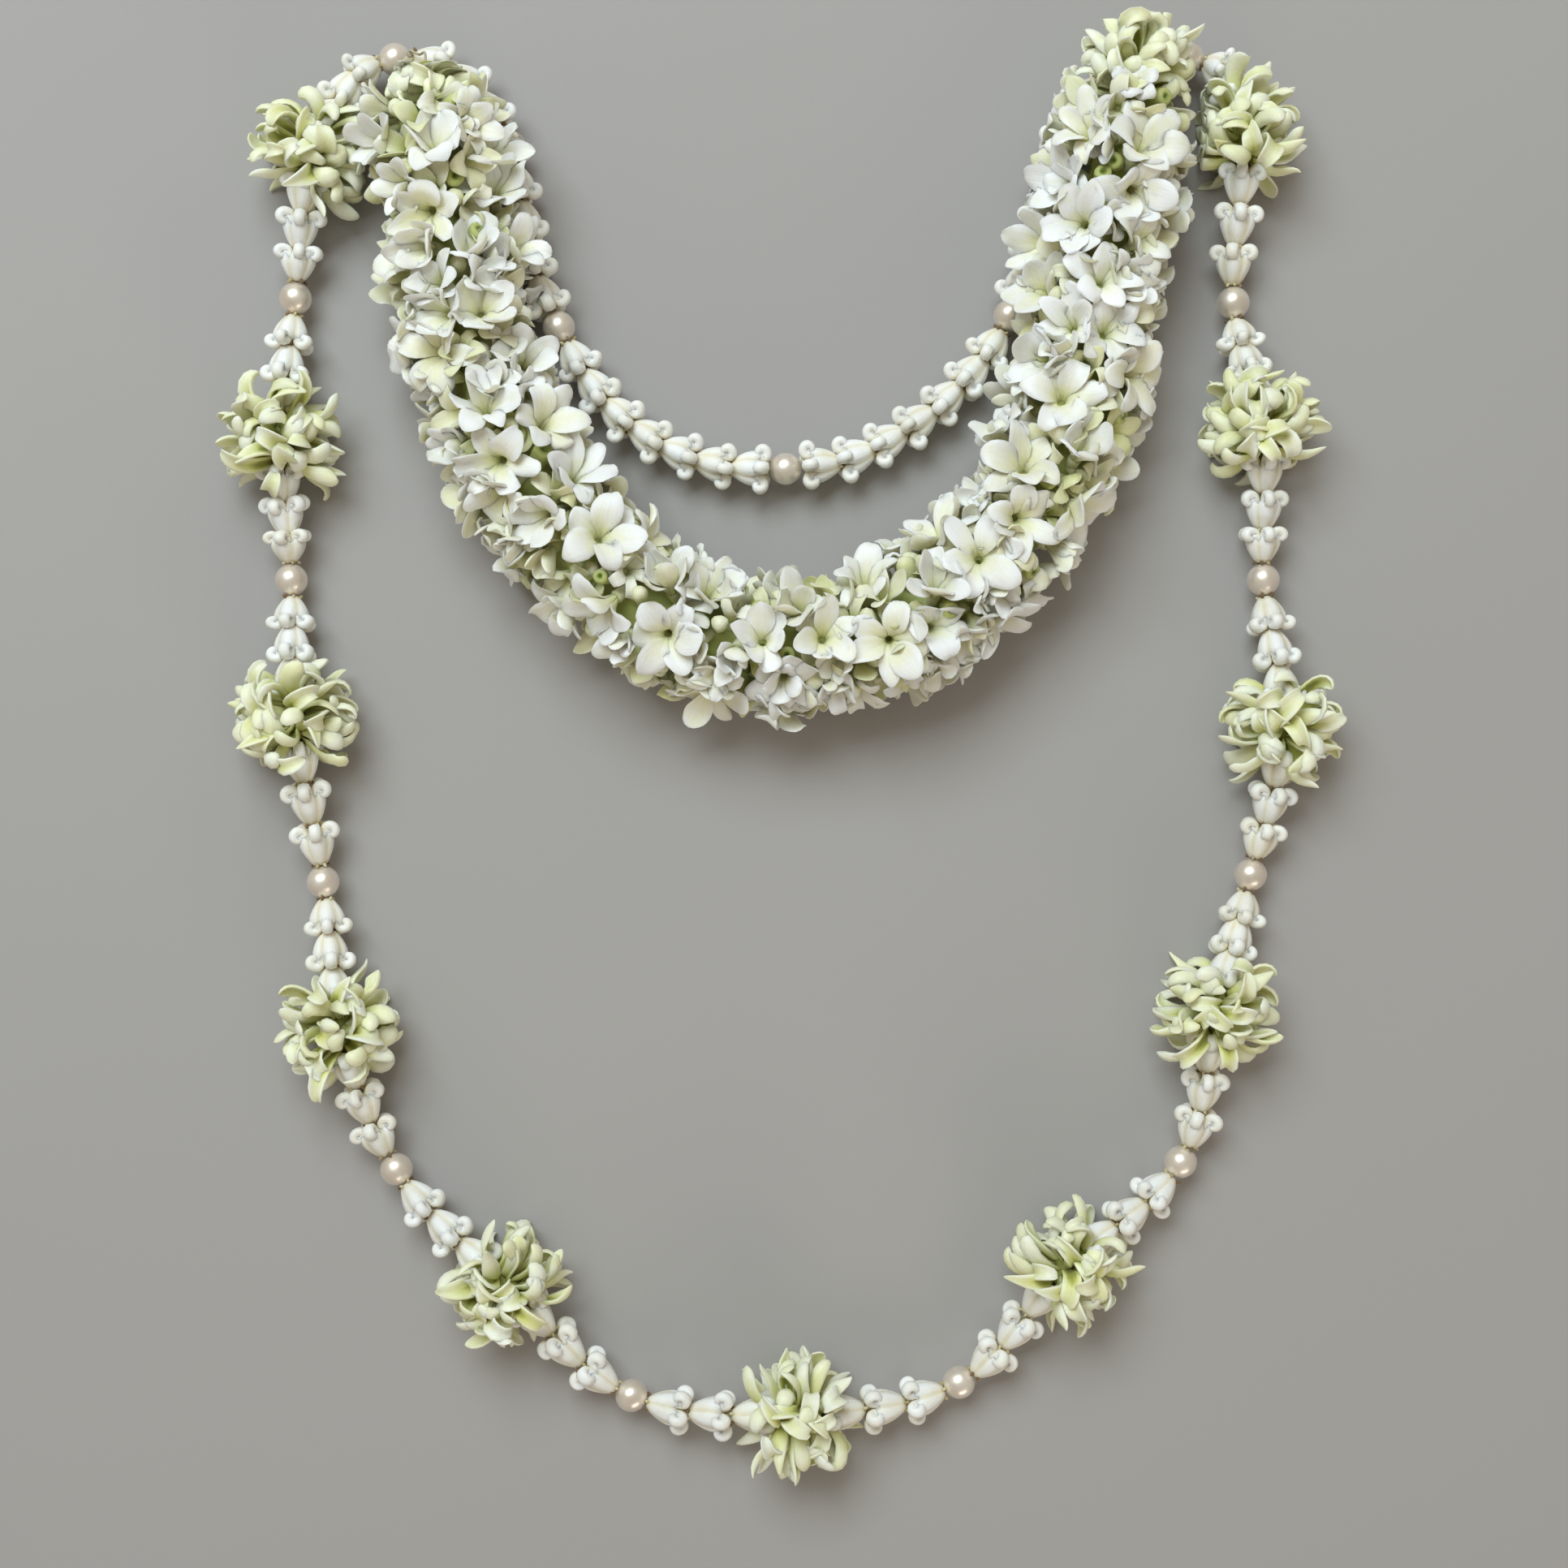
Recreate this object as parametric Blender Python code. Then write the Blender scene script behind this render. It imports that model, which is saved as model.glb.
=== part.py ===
"""A lei laid flat: a thick U of tuberose florets, and one long looped strand of
crown flowers, pearls and petal pompons that follows it inside and hangs far below it."""

import math
import random

import bmesh
import bpy
from mathutils import Matrix, Vector

# Every size and place below is in millimetres, and meshes are made in metres
MM = 0.001

# Pearls, and the bore that the thread runs through
PEARL_RADIUS = 5.0
PEARL_SIDES = 7
PEARL_RINGS = 5

# Crown flowers: five ribs that swell to the belly and end in outward scrolls
RIBS = 5
CROWN_NARROW = 2.6
CROWN_BELLY = 5.2
CROWN_BELLY_PLACE = 0.52
CROWN_SCROLL = 7.5
CROWN_GROOVE = 3.7
CROWN_SCROLL_PLACE = 0.92
CROWN_END = 3.0
CROWN_BURIED_SCROLL = 5.4
CROWN_TURN = 0.3

# Pompons: rows of five petals on a short stack
POMPON_ROWS = 4
POMPON_HALF = 6.9
POMPON_ROWS_HALF = 5.0
POMPON_WAIST = 2.6
POMPON_STACK = 4.4
PETAL_START = 3.4
PETAL_LENGTH = 16.2
PETAL_HALF_WIDTH = 3.4
PETAL_KEEL = 1.5
PETAL_SPREAD = math.radians(36)
PETAL_CURL = math.radians(22)
PETAL_TILT_MOST = math.radians(32)
PETAL_WIDEST = 0.55
PETAL_DRAWS = {"angle": 0.16, "tilt": 0.12, "length": (0.88, 1.1)}

# Florets of the thick rope, in rings of five round its core
ROPE_RINGS = 21
FLORETS_A_RING = 5
FLORET_PETALS = 6
FLORET_RADIUS = 12.4
FLORET_NOTCH = 0.46
FLORET_CORNER = math.radians(14.5)
FLORET_THROAT_HEIGHT = 14.0
FLORET_NOTCH_HEIGHT = 17.0
FLORET_TIP_HEIGHT = 18.7
FLORET_NECK = 2.0
FLORET_NECK_HEIGHT = 11.4
FLORET_ROOT_HEIGHT = 5.5
FLORET_FOOT_ANGLE = math.radians(17)
FLORET_DRAWS = {"along": 0.2, "sideways": 0.14, "size": (0.92, 1.12), "cup": (-1.0, 1.6),
                "reach": (0.93, 1.05), "tip": 0.9}
NECK_SIDES = 3
NECK_TAPER = 0.8
PETAL_GAP = 0.3
NEIGHBOUR_REACH = 3 * FLORET_RADIUS
CORE_RADIUS = 9.5
CORE_SIDES = 6

# Threads, their channels, and the clearances between solids that touch
THREAD_RADIUS = 0.42
THREAD_SIDES = 3
CHANNEL_RADIUS = 0.95
JOINT_GAP = 0.36
TIE_GAP = 1.7
TIE_RADIUS = 1.25
TIE_SIDES = 4
ROUND_SIDES = 8
TAIL_BEND = 2.8
TAIL_SAG = 1.0
TAIL_HOVER = 6.0
TAIL_PARTS = 8
STRAND_CLEARANCE = 8.6
HULL_CLEARANCE = 0.5
FLOOR_CLEARANCE = 0.4

# Heights of the strand and the rope over the surface they lie on
HEIGHTS = {"pearl": 8.4, "pompon": 14.0, "bend": 8.2, "rise": 10.5}

# The long strand, as it lies: its pearls, its pompons and the bends between them
STRAND = [
    ("pearl", -120.2, 224.5), ("rise", -132.5, 217.0), ("rise", -139.0, 206.0),
    ("pompon", -145.2, 194.0), ("pearl", -150.8, 149.8), ("pompon", -154.0, 105.2),
    ("pearl", -152.0, 63.0), ("pompon", -149.8, 20.2), ("pearl", -142.2, -30.2),
    ("pompon", -135.8, -74.8), ("pearl", -119.8, -119.0), ("pompon", -85.2, -153.5),
    ("pearl", -47.2, -189.0), ("pompon", 4.8, -193.0), ("pearl", 54.2, -185.0),
    ("pompon", 86.8, -147.2), ("pearl", 122.8, -116.8), ("pompon", 132.2, -69.2),
    ("pearl", 144.0, -28.0), ("pompon", 152.8, 17.8), ("pearl", 147.8, 63.0),
    ("pompon", 146.5, 108.2), ("pearl", 138.5, 148.5), ("pompon", 141.0, 197.0),
    ("rise", 139.0, 212.0), ("rise", 133.5, 221.0), ("pearl", 124.5, 223.5),
    ("bend", 114.5, 226.0), ("bend", 103.0, 222.0), ("bend", 94.0, 213.0),
    ("bend", 87.5, 203.0), ("bend", 83.5, 191.5), ("bend", 80.5, 178.0),
    ("bend", 77.0, 164.0), ("pearl", 69.8, 144.5), ("bend", 60.0, 129.0),
    ("bend", 42.0, 112.0), ("bend", 21.0, 100.5), ("pearl", 0.5, 97.2),
    ("bend", -20.0, 98.5), ("bend", -39.5, 105.5), ("bend", -56.5, 119.5),
    ("pearl", -69.5, 141.0), ("bend", -77.0, 157.0), ("bend", -80.0, 172.0),
    ("bend", -83.5, 188.5), ("bend", -88.5, 203.5), ("bend", -96.0, 215.0),
    ("bend", -107.0, 222.5),
]
OUTER_CROWNS = 3
INNER_CROWNS = {"pearl_12": 8, "pearl_13": 7, "pearl_14": 7, "pearl_15": 8}
NARROW_FIRST = ("pearl_12", "pearl_13")

# The middle line of the thick rope, and the height it lies at
ROPE = [
    (-106.5, 204.5, 22.0), (-103.0, 178.0, 20.5), (-98.6, 147.5, 19.4), (-91.0, 120.0, 19.4),
    (-78.8, 92.5, 19.4), (-57.2, 65.6, 19.4), (-29.5, 46.6, 19.4), (1.0, 41.0, 19.4),
    (31.2, 46.2, 19.4), (58.4, 64.2, 19.4), (78.6, 89.0, 19.4), (89.2, 119.6, 19.4),
    (94.2, 150.5, 19.4), (99.2, 178.6, 20.5), (104.8, 206.0, 22.5),
]
ROPE_NODE_ENDS = (0, 5, 10, 16, 21)
END_POMPONS = [
    {"name": "pompon_12", "rope_end": 0, "lean": math.radians(12), "height": 23.0, "far": 221.0},
    {"name": "pompon_13", "rope_end": -1, "lean": math.radians(30), "height": 25.5, "far": 229.5},
]

# How far each pompon's petals lean along the strand, in degrees
LEANS = {"pompon_02": -4, "pompon_07": 6, "pompon_10": 14, "pompon_11": 22}
NEAR_ROPE_LIMIT = 128.5

COLOURS = {
    "pearl": ((0.86, 0.76, 0.69), 0.25),
    "crown": ((0.92, 0.91, 0.86), 0.45),
    "pompon": ((0.83, 0.87, 0.68), 0.45),
    "tuberose": ((0.93, 0.91, 0.84), 0.5),
    "thread": ((0.80, 0.72, 0.52), 0.8),
}


def material(kind):
    """The Principled material of one kind of piece, made once."""
    made = bpy.data.materials.get(kind)
    if made is None:
        colour, roughness = COLOURS[kind]
        made = bpy.data.materials.new(kind)
        made.use_nodes = True
        shader = made.node_tree.nodes["Principled BSDF"]
        shader.inputs["Base Color"].default_value = (*colour, 1.0)
        shader.inputs["Roughness"].default_value = roughness
        shader.inputs["Metallic"].default_value = 0.0
    return made


def add_object(name, points, faces, kind):
    """One closed, triangulated mesh object with its faces pointing out."""
    mesh = bpy.data.meshes.new(name)
    mesh.from_pydata([point * MM for point in points], [], faces)
    work = bmesh.new()
    work.from_mesh(mesh)
    bmesh.ops.triangulate(work, faces=work.faces)
    bmesh.ops.recalc_face_normals(work, faces=work.faces)
    if work.calc_volume(signed=True) < 0:
        bmesh.ops.reverse_faces(work, faces=work.faces)
    work.to_mesh(mesh)
    work.free()
    mesh.materials.append(material(kind))
    made = bpy.data.objects.new(name, mesh)
    bpy.context.scene.collection.objects.link(made)
    return made


class Route:
    """A smooth curve through points, read by the distance along it."""

    STEPS = 16

    def __init__(self, points, closed):
        self.closed = closed
        count = len(points)
        spans = count if closed else count - 1
        gaps = [(points[(i + 1) % count] - points[i]).length for i in range(spans)]
        slopes = [self.slope(points, gaps, i) for i in range(count)]
        self.line = [points[0].copy()]
        self.knots = [0]
        for i in range(spans):
            start, end = points[i], points[(i + 1) % count]
            pull_out, pull_in = slopes[i] * gaps[i], slopes[(i + 1) % count] * gaps[i]
            for step in range(1, self.STEPS + 1):
                t = step / self.STEPS
                self.line.append(
                    start * (1 - 3 * t ** 2 + 2 * t ** 3) + end * (3 * t ** 2 - 2 * t ** 3)
                    + pull_out * (t - 2 * t ** 2 + t ** 3) + pull_in * (t ** 3 - t ** 2))
            self.knots.append(len(self.line) - 1)
        self.far = [0.0]
        for here, ahead in zip(self.line, self.line[1:]):
            self.far.append(self.far[-1] + (ahead - here).length)
        self.length = self.far[-1]

    def slope(self, points, gaps, i):
        """The direction of the curve at a point, from the points beside it."""
        count = len(points)
        if self.closed:
            return (points[(i + 1) % count] - points[i - 1]) / (gaps[i] + gaps[i - 1])
        if i == 0:
            return (points[1] - points[0]) / gaps[0]
        if i == count - 1:
            return (points[-1] - points[-2]) / gaps[-1]
        return (points[i + 1] - points[i - 1]) / (gaps[i] + gaps[i - 1])

    def knot(self, i):
        """The distance along the route at which it passes its given point."""
        return self.far[self.knots[i]]

    def at(self, distance):
        """The place that far along the route."""
        if self.closed:
            distance %= self.length
        distance = min(max(distance, 0.0), self.length)
        low, high = 0, len(self.far) - 1
        while high - low > 1:
            middle = (low + high) // 2
            if self.far[middle] <= distance:
                low = middle
            else:
                high = middle
        part = (distance - self.far[low]) / (self.far[high] - self.far[low])
        return self.line[low].lerp(self.line[high], part)


def frame_across(along):
    """Two directions across the given one, the second as near to upright as it gets."""
    guide = Vector((0, 0, 1)) if abs(along.z) < 0.95 * along.length else Vector((0, 1, 0))
    side = along.cross(guide).normalized()
    return side, side.cross(along).normalized()


def ring(centre, along, radii, turn=0.0, side=None):
    """Points round a centre, one for each radius, across the given direction."""
    side = side or frame_across(along)[0]
    up = side.cross(along)
    points = []
    for i, radius in enumerate(radii):
        angle = turn + 2 * math.pi * i / len(radii)
        points.append(centre + radius * (math.cos(angle) * side + math.sin(angle) * up))
    return points


def bends(line, closed=False):
    """The direction of a line at each of its points, halfway between its two stretches."""
    count = len(line)
    ways = []
    for i in range(count):
        before = line[i] - line[i - 1] if closed or i > 0 else line[1] - line[0]
        after = line[(i + 1) % count] - line[i] if closed or i < count - 1 else before
        ways.append((before.normalized() + after.normalized()).normalized())
    return ways


def bridge(faces, first, second):
    """Faces between two rings of vertex numbers, of equal length or one double the other."""
    long_ring, short_ring = (first, second) if len(first) >= len(second) else (second, first)
    count, short_count = len(long_ring), len(short_ring)
    ratio = count // short_count
    for i in range(count):
        j = (i + 1) % count
        a = short_ring[(i + ratio - 1) // ratio % short_count]
        b = short_ring[(j + ratio - 1) // ratio % short_count]
        if a == b:
            faces.append((long_ring[i], long_ring[j], a))
        else:
            faces.append((long_ring[i], long_ring[j], b, a))


class Skin:
    """Points and faces of one closed solid, gathered ring by ring."""

    def __init__(self):
        self.points = []
        self.faces = []

    def add(self, points):
        """Keep some points and give back their numbers."""
        first = len(self.points)
        self.points.extend(points)
        return list(range(first, len(self.points)))

    def join(self, rings, closed=False):
        """Faces between each ring and the next."""
        for here, ahead in zip(rings, rings[1:] + rings[:1] if closed else rings[1:]):
            bridge(self.faces, here, ahead)


def tube(name, line, radius, sides, kind, closed=False):
    """A plain tube along a line of points, its rings carried along without a twist."""
    skin = Skin()
    ways = bends(line, closed)
    side = frame_across(ways[0])[0]
    rings = []
    for point, way in zip(line, ways):
        side = (side - side.dot(way) * way).normalized()
        rings.append(skin.add(ring(point, way, [radius] * sides, side=side)))
    skin.join(rings, closed)
    if not closed:
        skin.faces += [tuple(rings[0]), tuple(rings[-1])]
    return add_object(name, skin.points, skin.faces, kind)


def pearl(name, line, gaps):
    """A round bead, bored along the stretch of thread that it sits on."""
    start, end = line
    along = (end - start).normalized()
    centre = (start + end) / 2 + (gaps[0] - gaps[1]) / 4 * along
    skin = Skin()
    rings = []
    for i in range(PEARL_RINGS):
        lean = math.asin(CHANNEL_RADIUS / PEARL_RADIUS)
        polar = lean + (math.pi - 2 * lean) * i / (PEARL_RINGS - 1)
        place = centre - PEARL_RADIUS * math.cos(polar) * along
        rings.append(skin.add(ring(place, along, [PEARL_RADIUS * math.sin(polar)] * PEARL_SIDES)))
    skin.join(rings, closed=True)
    return add_object(name, skin.points, skin.faces, "pearl")


def pearl_half():
    """Half the bored length of a pearl."""
    return math.sqrt(PEARL_RADIUS ** 2 - CHANNEL_RADIUS ** 2)


def crowns(name, line, gaps, ways, turn, last_scroll):
    """A run of crown flowers nested end to end, from a narrow end to a scrolled one.
    Ways are the directions of the joints at both ends."""
    first, last = (line[1] - line[0]).normalized(), (line[-1] - line[-2]).normalized()
    places = [line[0] + gaps[0] / 2 * first] + line[1:-1] + [line[-1] - gaps[1] / 2 * last]
    ways = [ways[0]] + bends(line)[1:-1] + [ways[1]]
    skin = Skin()
    outside, inside = [], []
    for i, (place, way) in enumerate(zip(places, ways)):
        end = i == len(places) - 1
        outside.append(skin.add(ring(place, way, [CROWN_END if end else CROWN_NARROW] * RIBS, turn)))
        inside.append(skin.add(ring(place, way, [CHANNEL_RADIUS] * RIBS, turn)))
        if end:
            break
        ahead = places[i + 1]
        chord = (ahead - place).normalized()
        belly = place.lerp(ahead, CROWN_BELLY_PLACE)
        scroll = place.lerp(ahead, CROWN_SCROLL_PLACE)
        reach = last_scroll if i == len(places) - 2 else CROWN_SCROLL
        outside.append(skin.add(ring(belly, chord, [CROWN_BELLY] * RIBS, turn)))
        outside.append(skin.add(ring(scroll, chord, [reach, CROWN_GROOVE] * RIBS, turn)))
    skin.join(outside)
    skin.join(inside)
    bridge(skin.faces, outside[0], inside[0])
    bridge(skin.faces, outside[-1], inside[-1])
    return add_object(name, skin.points, skin.faces, "crown")


def pompon(name, line, ways, lean, limits):
    """A stack of petal rows round a bored core, leaning along it by the given angle.
    Ways are the directions of the joints at both ends. Limits are planes, each a point
    and a direction, that the petals bend back from."""
    start, end = line
    along = (end - start).normalized()
    side, up = frame_across(along)
    middle = (start + end) / 2
    draw = random.Random(name)
    first_turn = draw.uniform(0, 2 * math.pi / RIBS)

    def place(radius, angle, height):
        return middle + radius * (math.cos(angle) * side + math.sin(angle) * up) + height * along

    def bent(point):
        for origin, direction in limits:
            over = (point - origin).dot(direction)
            if over > 0:
                point = point - over * direction
        point.z = max(point.z, 0.0)
        return point

    def faced(points, which):
        """The points of an end ring, moved along the stack into the plane of its joint."""
        way, sign = ways[which], 2 * which - 1
        centre = middle + sign * POMPON_HALF * along
        return [point + along * ((centre - point).dot(way) / along.dot(way)) for point in points]

    skin = Skin()
    rings = []
    for row in range(POMPON_ROWS + 1):
        share = row / POMPON_ROWS
        radius = POMPON_WAIST + (POMPON_STACK - POMPON_WAIST) * math.sin(math.pi * share)
        turn = first_turn + row * math.pi / RIBS
        rings.append(skin.add([place(radius, turn + 2 * math.pi * j / RIBS,
                                     POMPON_ROWS_HALF * (2 * share - 1)) for j in range(RIBS)]))
    spots = [first_turn + 2 * math.pi * j / RIBS for j in range(RIBS)]
    necks = [skin.add(faced([place(POMPON_WAIST, spot, 0.0) for spot in spots], k)) for k in (0, 1)]
    bores = [skin.add(faced([place(CHANNEL_RADIUS, spot, 0.0) for spot in spots], k)) for k in (0, 1)]
    shift = POMPON_ROWS // 2
    turned = rings[-1][-shift:] + rings[-1][:-shift]
    for here, ahead in ((necks[0], rings[0]), (turned, necks[1]), (bores[0], bores[1]),
                        (necks[0], bores[0]), (necks[1], bores[1])):
        bridge(skin.faces, here, ahead)
    for row in range(POMPON_ROWS):
        share = (row + 0.5) / POMPON_ROWS
        height = POMPON_ROWS_HALF * (2 * share - 1)
        for j in range(RIBS):
            k = (j + 1) % RIBS
            low_left, low_right = rings[row][j], rings[row][k]
            high_left, high_right = rings[row + 1][j], rings[row + 1][k]
            angle = first_turn + (row + 0.5) * math.pi / RIBS + 2 * math.pi * (j + 0.5) / RIBS
            angle += PETAL_DRAWS["angle"] * draw.uniform(-1, 1)
            tilt = lean + PETAL_SPREAD * (2 * share - 1) + PETAL_DRAWS["tilt"] * draw.uniform(-1, 1)
            tilt = max(-PETAL_TILT_MOST, min(PETAL_TILT_MOST, tilt))
            length = PETAL_LENGTH * draw.uniform(*PETAL_DRAWS["length"])
            radial = math.cos(angle) * side + math.sin(angle) * up
            width = radial.cross(along)
            way = math.cos(tilt) * radial + math.sin(tilt) * along
            face = way.cross(width)
            curl = PETAL_CURL * (2 * share - 1)
            tip_way = math.cos(tilt + curl) * radial + math.sin(tilt + curl) * along
            root = place(PETAL_START, angle, height)
            half = root + PETAL_WIDEST * length * way
            left, right, keel, tip = skin.add([
                bent(half - PETAL_HALF_WIDTH * width), bent(half + PETAL_HALF_WIDTH * width),
                bent(half + PETAL_KEEL * face), bent(root + length * tip_way)])
            skin.faces += [
                (high_left, high_right, right, left), (low_left, high_left, left),
                (low_left, left, keel), (low_left, keel, low_right), (low_right, keel, right),
                (low_right, right, high_right), (left, right, tip), (right, keel, tip),
                (keel, left, tip)]
    return add_object(name, skin.points, skin.faces, "pompon")


def floret_places(line):
    """Where each floret of the rope sits and how it faces, ring by ring."""
    places = []
    for i in range(ROPE_RINGS):
        centre = (line[i] + line[i + 1]) / 2
        along = (line[i + 1] - line[i]).normalized()
        side, up = frame_across(along)
        for j in range(FLORETS_A_RING):
            draw = random.Random(f"floret {i} {j}")
            angle = -math.pi / 2 + 2 * math.pi * (j + 0.5 * (i % 2)) / FLORETS_A_RING
            out = math.cos(angle) * side + math.sin(angle) * up
            foot = -out.z > math.cos(FLORET_FOOT_ANGLE)
            if not foot:
                out += FLORET_DRAWS["along"] * draw.uniform(-1, 1) * along
                out += FLORET_DRAWS["sideways"] * draw.uniform(-1, 1) * out.cross(along)
            places.append({"ring": i, "centre": centre, "out": out.normalized(), "foot": foot,
                           "draw": draw})
    return places


def cell_walls(here, places):
    """Planes halfway between a floret and those round it, which its petals stay within."""
    middle = here["centre"] + FLORET_NOTCH_HEIGHT * here["out"]
    walls = []
    for other in places:
        across = other["centre"] + FLORET_NOTCH_HEIGHT * other["out"] - middle
        if 0 < across.length < NEIGHBOUR_REACH:
            way = across.normalized()
            walls.append((middle + across / 2 - PETAL_GAP / 2 * way, way))
    return walls


def floret(name, here, walls):
    """One open six-petalled floret that faces out from the rope's middle line.
    Walls are planes, each a point and a direction, that its petals bend back from."""
    draw, out = here["draw"], here["out"]
    across, aside = frame_across(out)
    size = draw.uniform(*FLORET_DRAWS["size"])
    spin = draw.uniform(0, 2 * math.pi)
    cup = draw.uniform(*FLORET_DRAWS["cup"])

    def place(radius, turn, height):
        point = here["centre"] + height * out
        point += radius * (math.cos(turn) * across + math.sin(turn) * aside)
        for origin, direction in walls * 2:
            over = (point - origin).dot(direction)
            if over > 0:
                point -= over * direction
        pressed = here["foot"] and height > FLORET_NECK_HEIGHT
        point.z = 0.0 if pressed else max(point.z, FLOOR_CLEARANCE)
        return point

    skin = Skin()
    rim = []
    for i in range(FLORET_PETALS):
        middle = spin + 2 * math.pi * i / FLORET_PETALS
        reach = size * FLORET_RADIUS * draw.uniform(*FLORET_DRAWS["reach"])
        tip_height = FLORET_TIP_HEIGHT + cup + FLORET_DRAWS["tip"] * draw.uniform(-1, 1)
        notch = math.pi / FLORET_PETALS
        rim += [place(reach, middle - FLORET_CORNER, tip_height),
                place(reach, middle + FLORET_CORNER, tip_height),
                place(FLORET_NOTCH * FLORET_RADIUS * size, middle + notch, FLORET_NOTCH_HEIGHT)]
    rim = skin.add(rim)
    throat = skin.add([place(0, 0, FLORET_THROAT_HEIGHT)])[0]
    corners = [spin + 2 * math.pi * (i + 0.25) / NECK_SIDES for i in range(NECK_SIDES)]
    neck = skin.add([place(FLORET_NECK, turn, FLORET_NECK_HEIGHT) for turn in corners])
    root = skin.add([place(FLORET_NECK * NECK_TAPER, turn, FLORET_ROOT_HEIGHT) for turn in corners])
    share = len(rim) // len(neck)
    for i, here_rim in enumerate(rim):
        ahead_rim = rim[(i + 1) % len(rim)]
        low, high = neck[i // share], neck[((i + 1) // share) % len(neck)]
        skin.faces += [(here_rim, ahead_rim, throat), (here_rim, ahead_rim, low)]
        if low != high:
            skin.faces.append((ahead_rim, low, high))
    bridge(skin.faces, neck, root)
    skin.faces.append(tuple(root))
    return add_object(name, skin.points, skin.faces, "tuberose")


def hull(name, source, grow):
    """The convex shape round an object's points, grown outwards by a length."""
    work = bmesh.new()
    for vertex in source.data.vertices:
        work.verts.new(vertex.co / MM)
    found = bmesh.ops.convex_hull(work, input=work.verts)
    bmesh.ops.delete(work, geom=found["geom_interior"], context="VERTS")
    bmesh.ops.recalc_face_normals(work, faces=work.faces)
    work.normal_update()
    points = [vertex.co + grow * vertex.normal for vertex in work.verts]
    work.verts.index_update()
    faces = [[vertex.index for vertex in face.verts] for face in work.faces]
    work.free()
    return add_object(name, points, faces, "thread")


def fuse(target, joined, cut):
    """Join one list of objects to the target, cut the other away, and keep one body."""
    groups = []
    for objects, operation in ((joined, "UNION"), (cut, "DIFFERENCE")):
        if not objects:
            continue
        group = bpy.data.collections.new(operation)
        for item in objects:
            group.objects.link(item)
        step = target.modifiers.new(operation, "BOOLEAN")
        step.operation = operation
        step.operand_type = "COLLECTION"
        step.collection = group
        step.solver = "MANIFOLD"
        groups.append(group)
    bpy.context.view_layer.update()
    graph = bpy.context.evaluated_depsgraph_get()
    mesh = bpy.data.meshes.new_from_object(target.evaluated_get(graph))
    target.modifiers.clear()
    for group in groups:
        bpy.data.collections.remove(group)
    drop_scraps(mesh)
    target.data = mesh


def drop_scraps(mesh):
    """Keep only the largest body of a mesh."""
    work = bmesh.new()
    work.from_mesh(mesh)
    bmesh.ops.triangulate(work, faces=work.faces)
    left = set(work.verts)
    bodies = []
    while left:
        body, edge = set(), [left.pop()]
        while edge:
            vertex = edge.pop()
            body.add(vertex)
            for link in vertex.link_edges:
                other = link.other_vert(vertex)
                if other in left:
                    left.remove(other)
                    edge.append(other)
        bodies.append(body)
    bodies.sort(key=len)
    for body in bodies[:-1]:
        bmesh.ops.delete(work, geom=list(body), context="VERTS")
    work.to_mesh(mesh)
    work.free()


def remove(objects):
    """Take helper objects out of the file."""
    for item in objects:
        bpy.data.objects.remove(item)


def strand_stations():
    """The named beads of the long strand, with the distance that each lies at."""
    points = [Vector((x, y, HEIGHTS[kind])) for kind, x, y in STRAND]
    route = Route(points, closed=True)
    counts = {"pearl": 0, "pompon": 0}
    beads = []
    for i, (kind, _, _) in enumerate(STRAND):
        if kind not in counts:
            continue
        counts[kind] += 1
        beads.append({"name": f"{kind}_{counts[kind]:02d}", "kind": kind, "far": route.knot(i)})
    return route, beads


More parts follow.
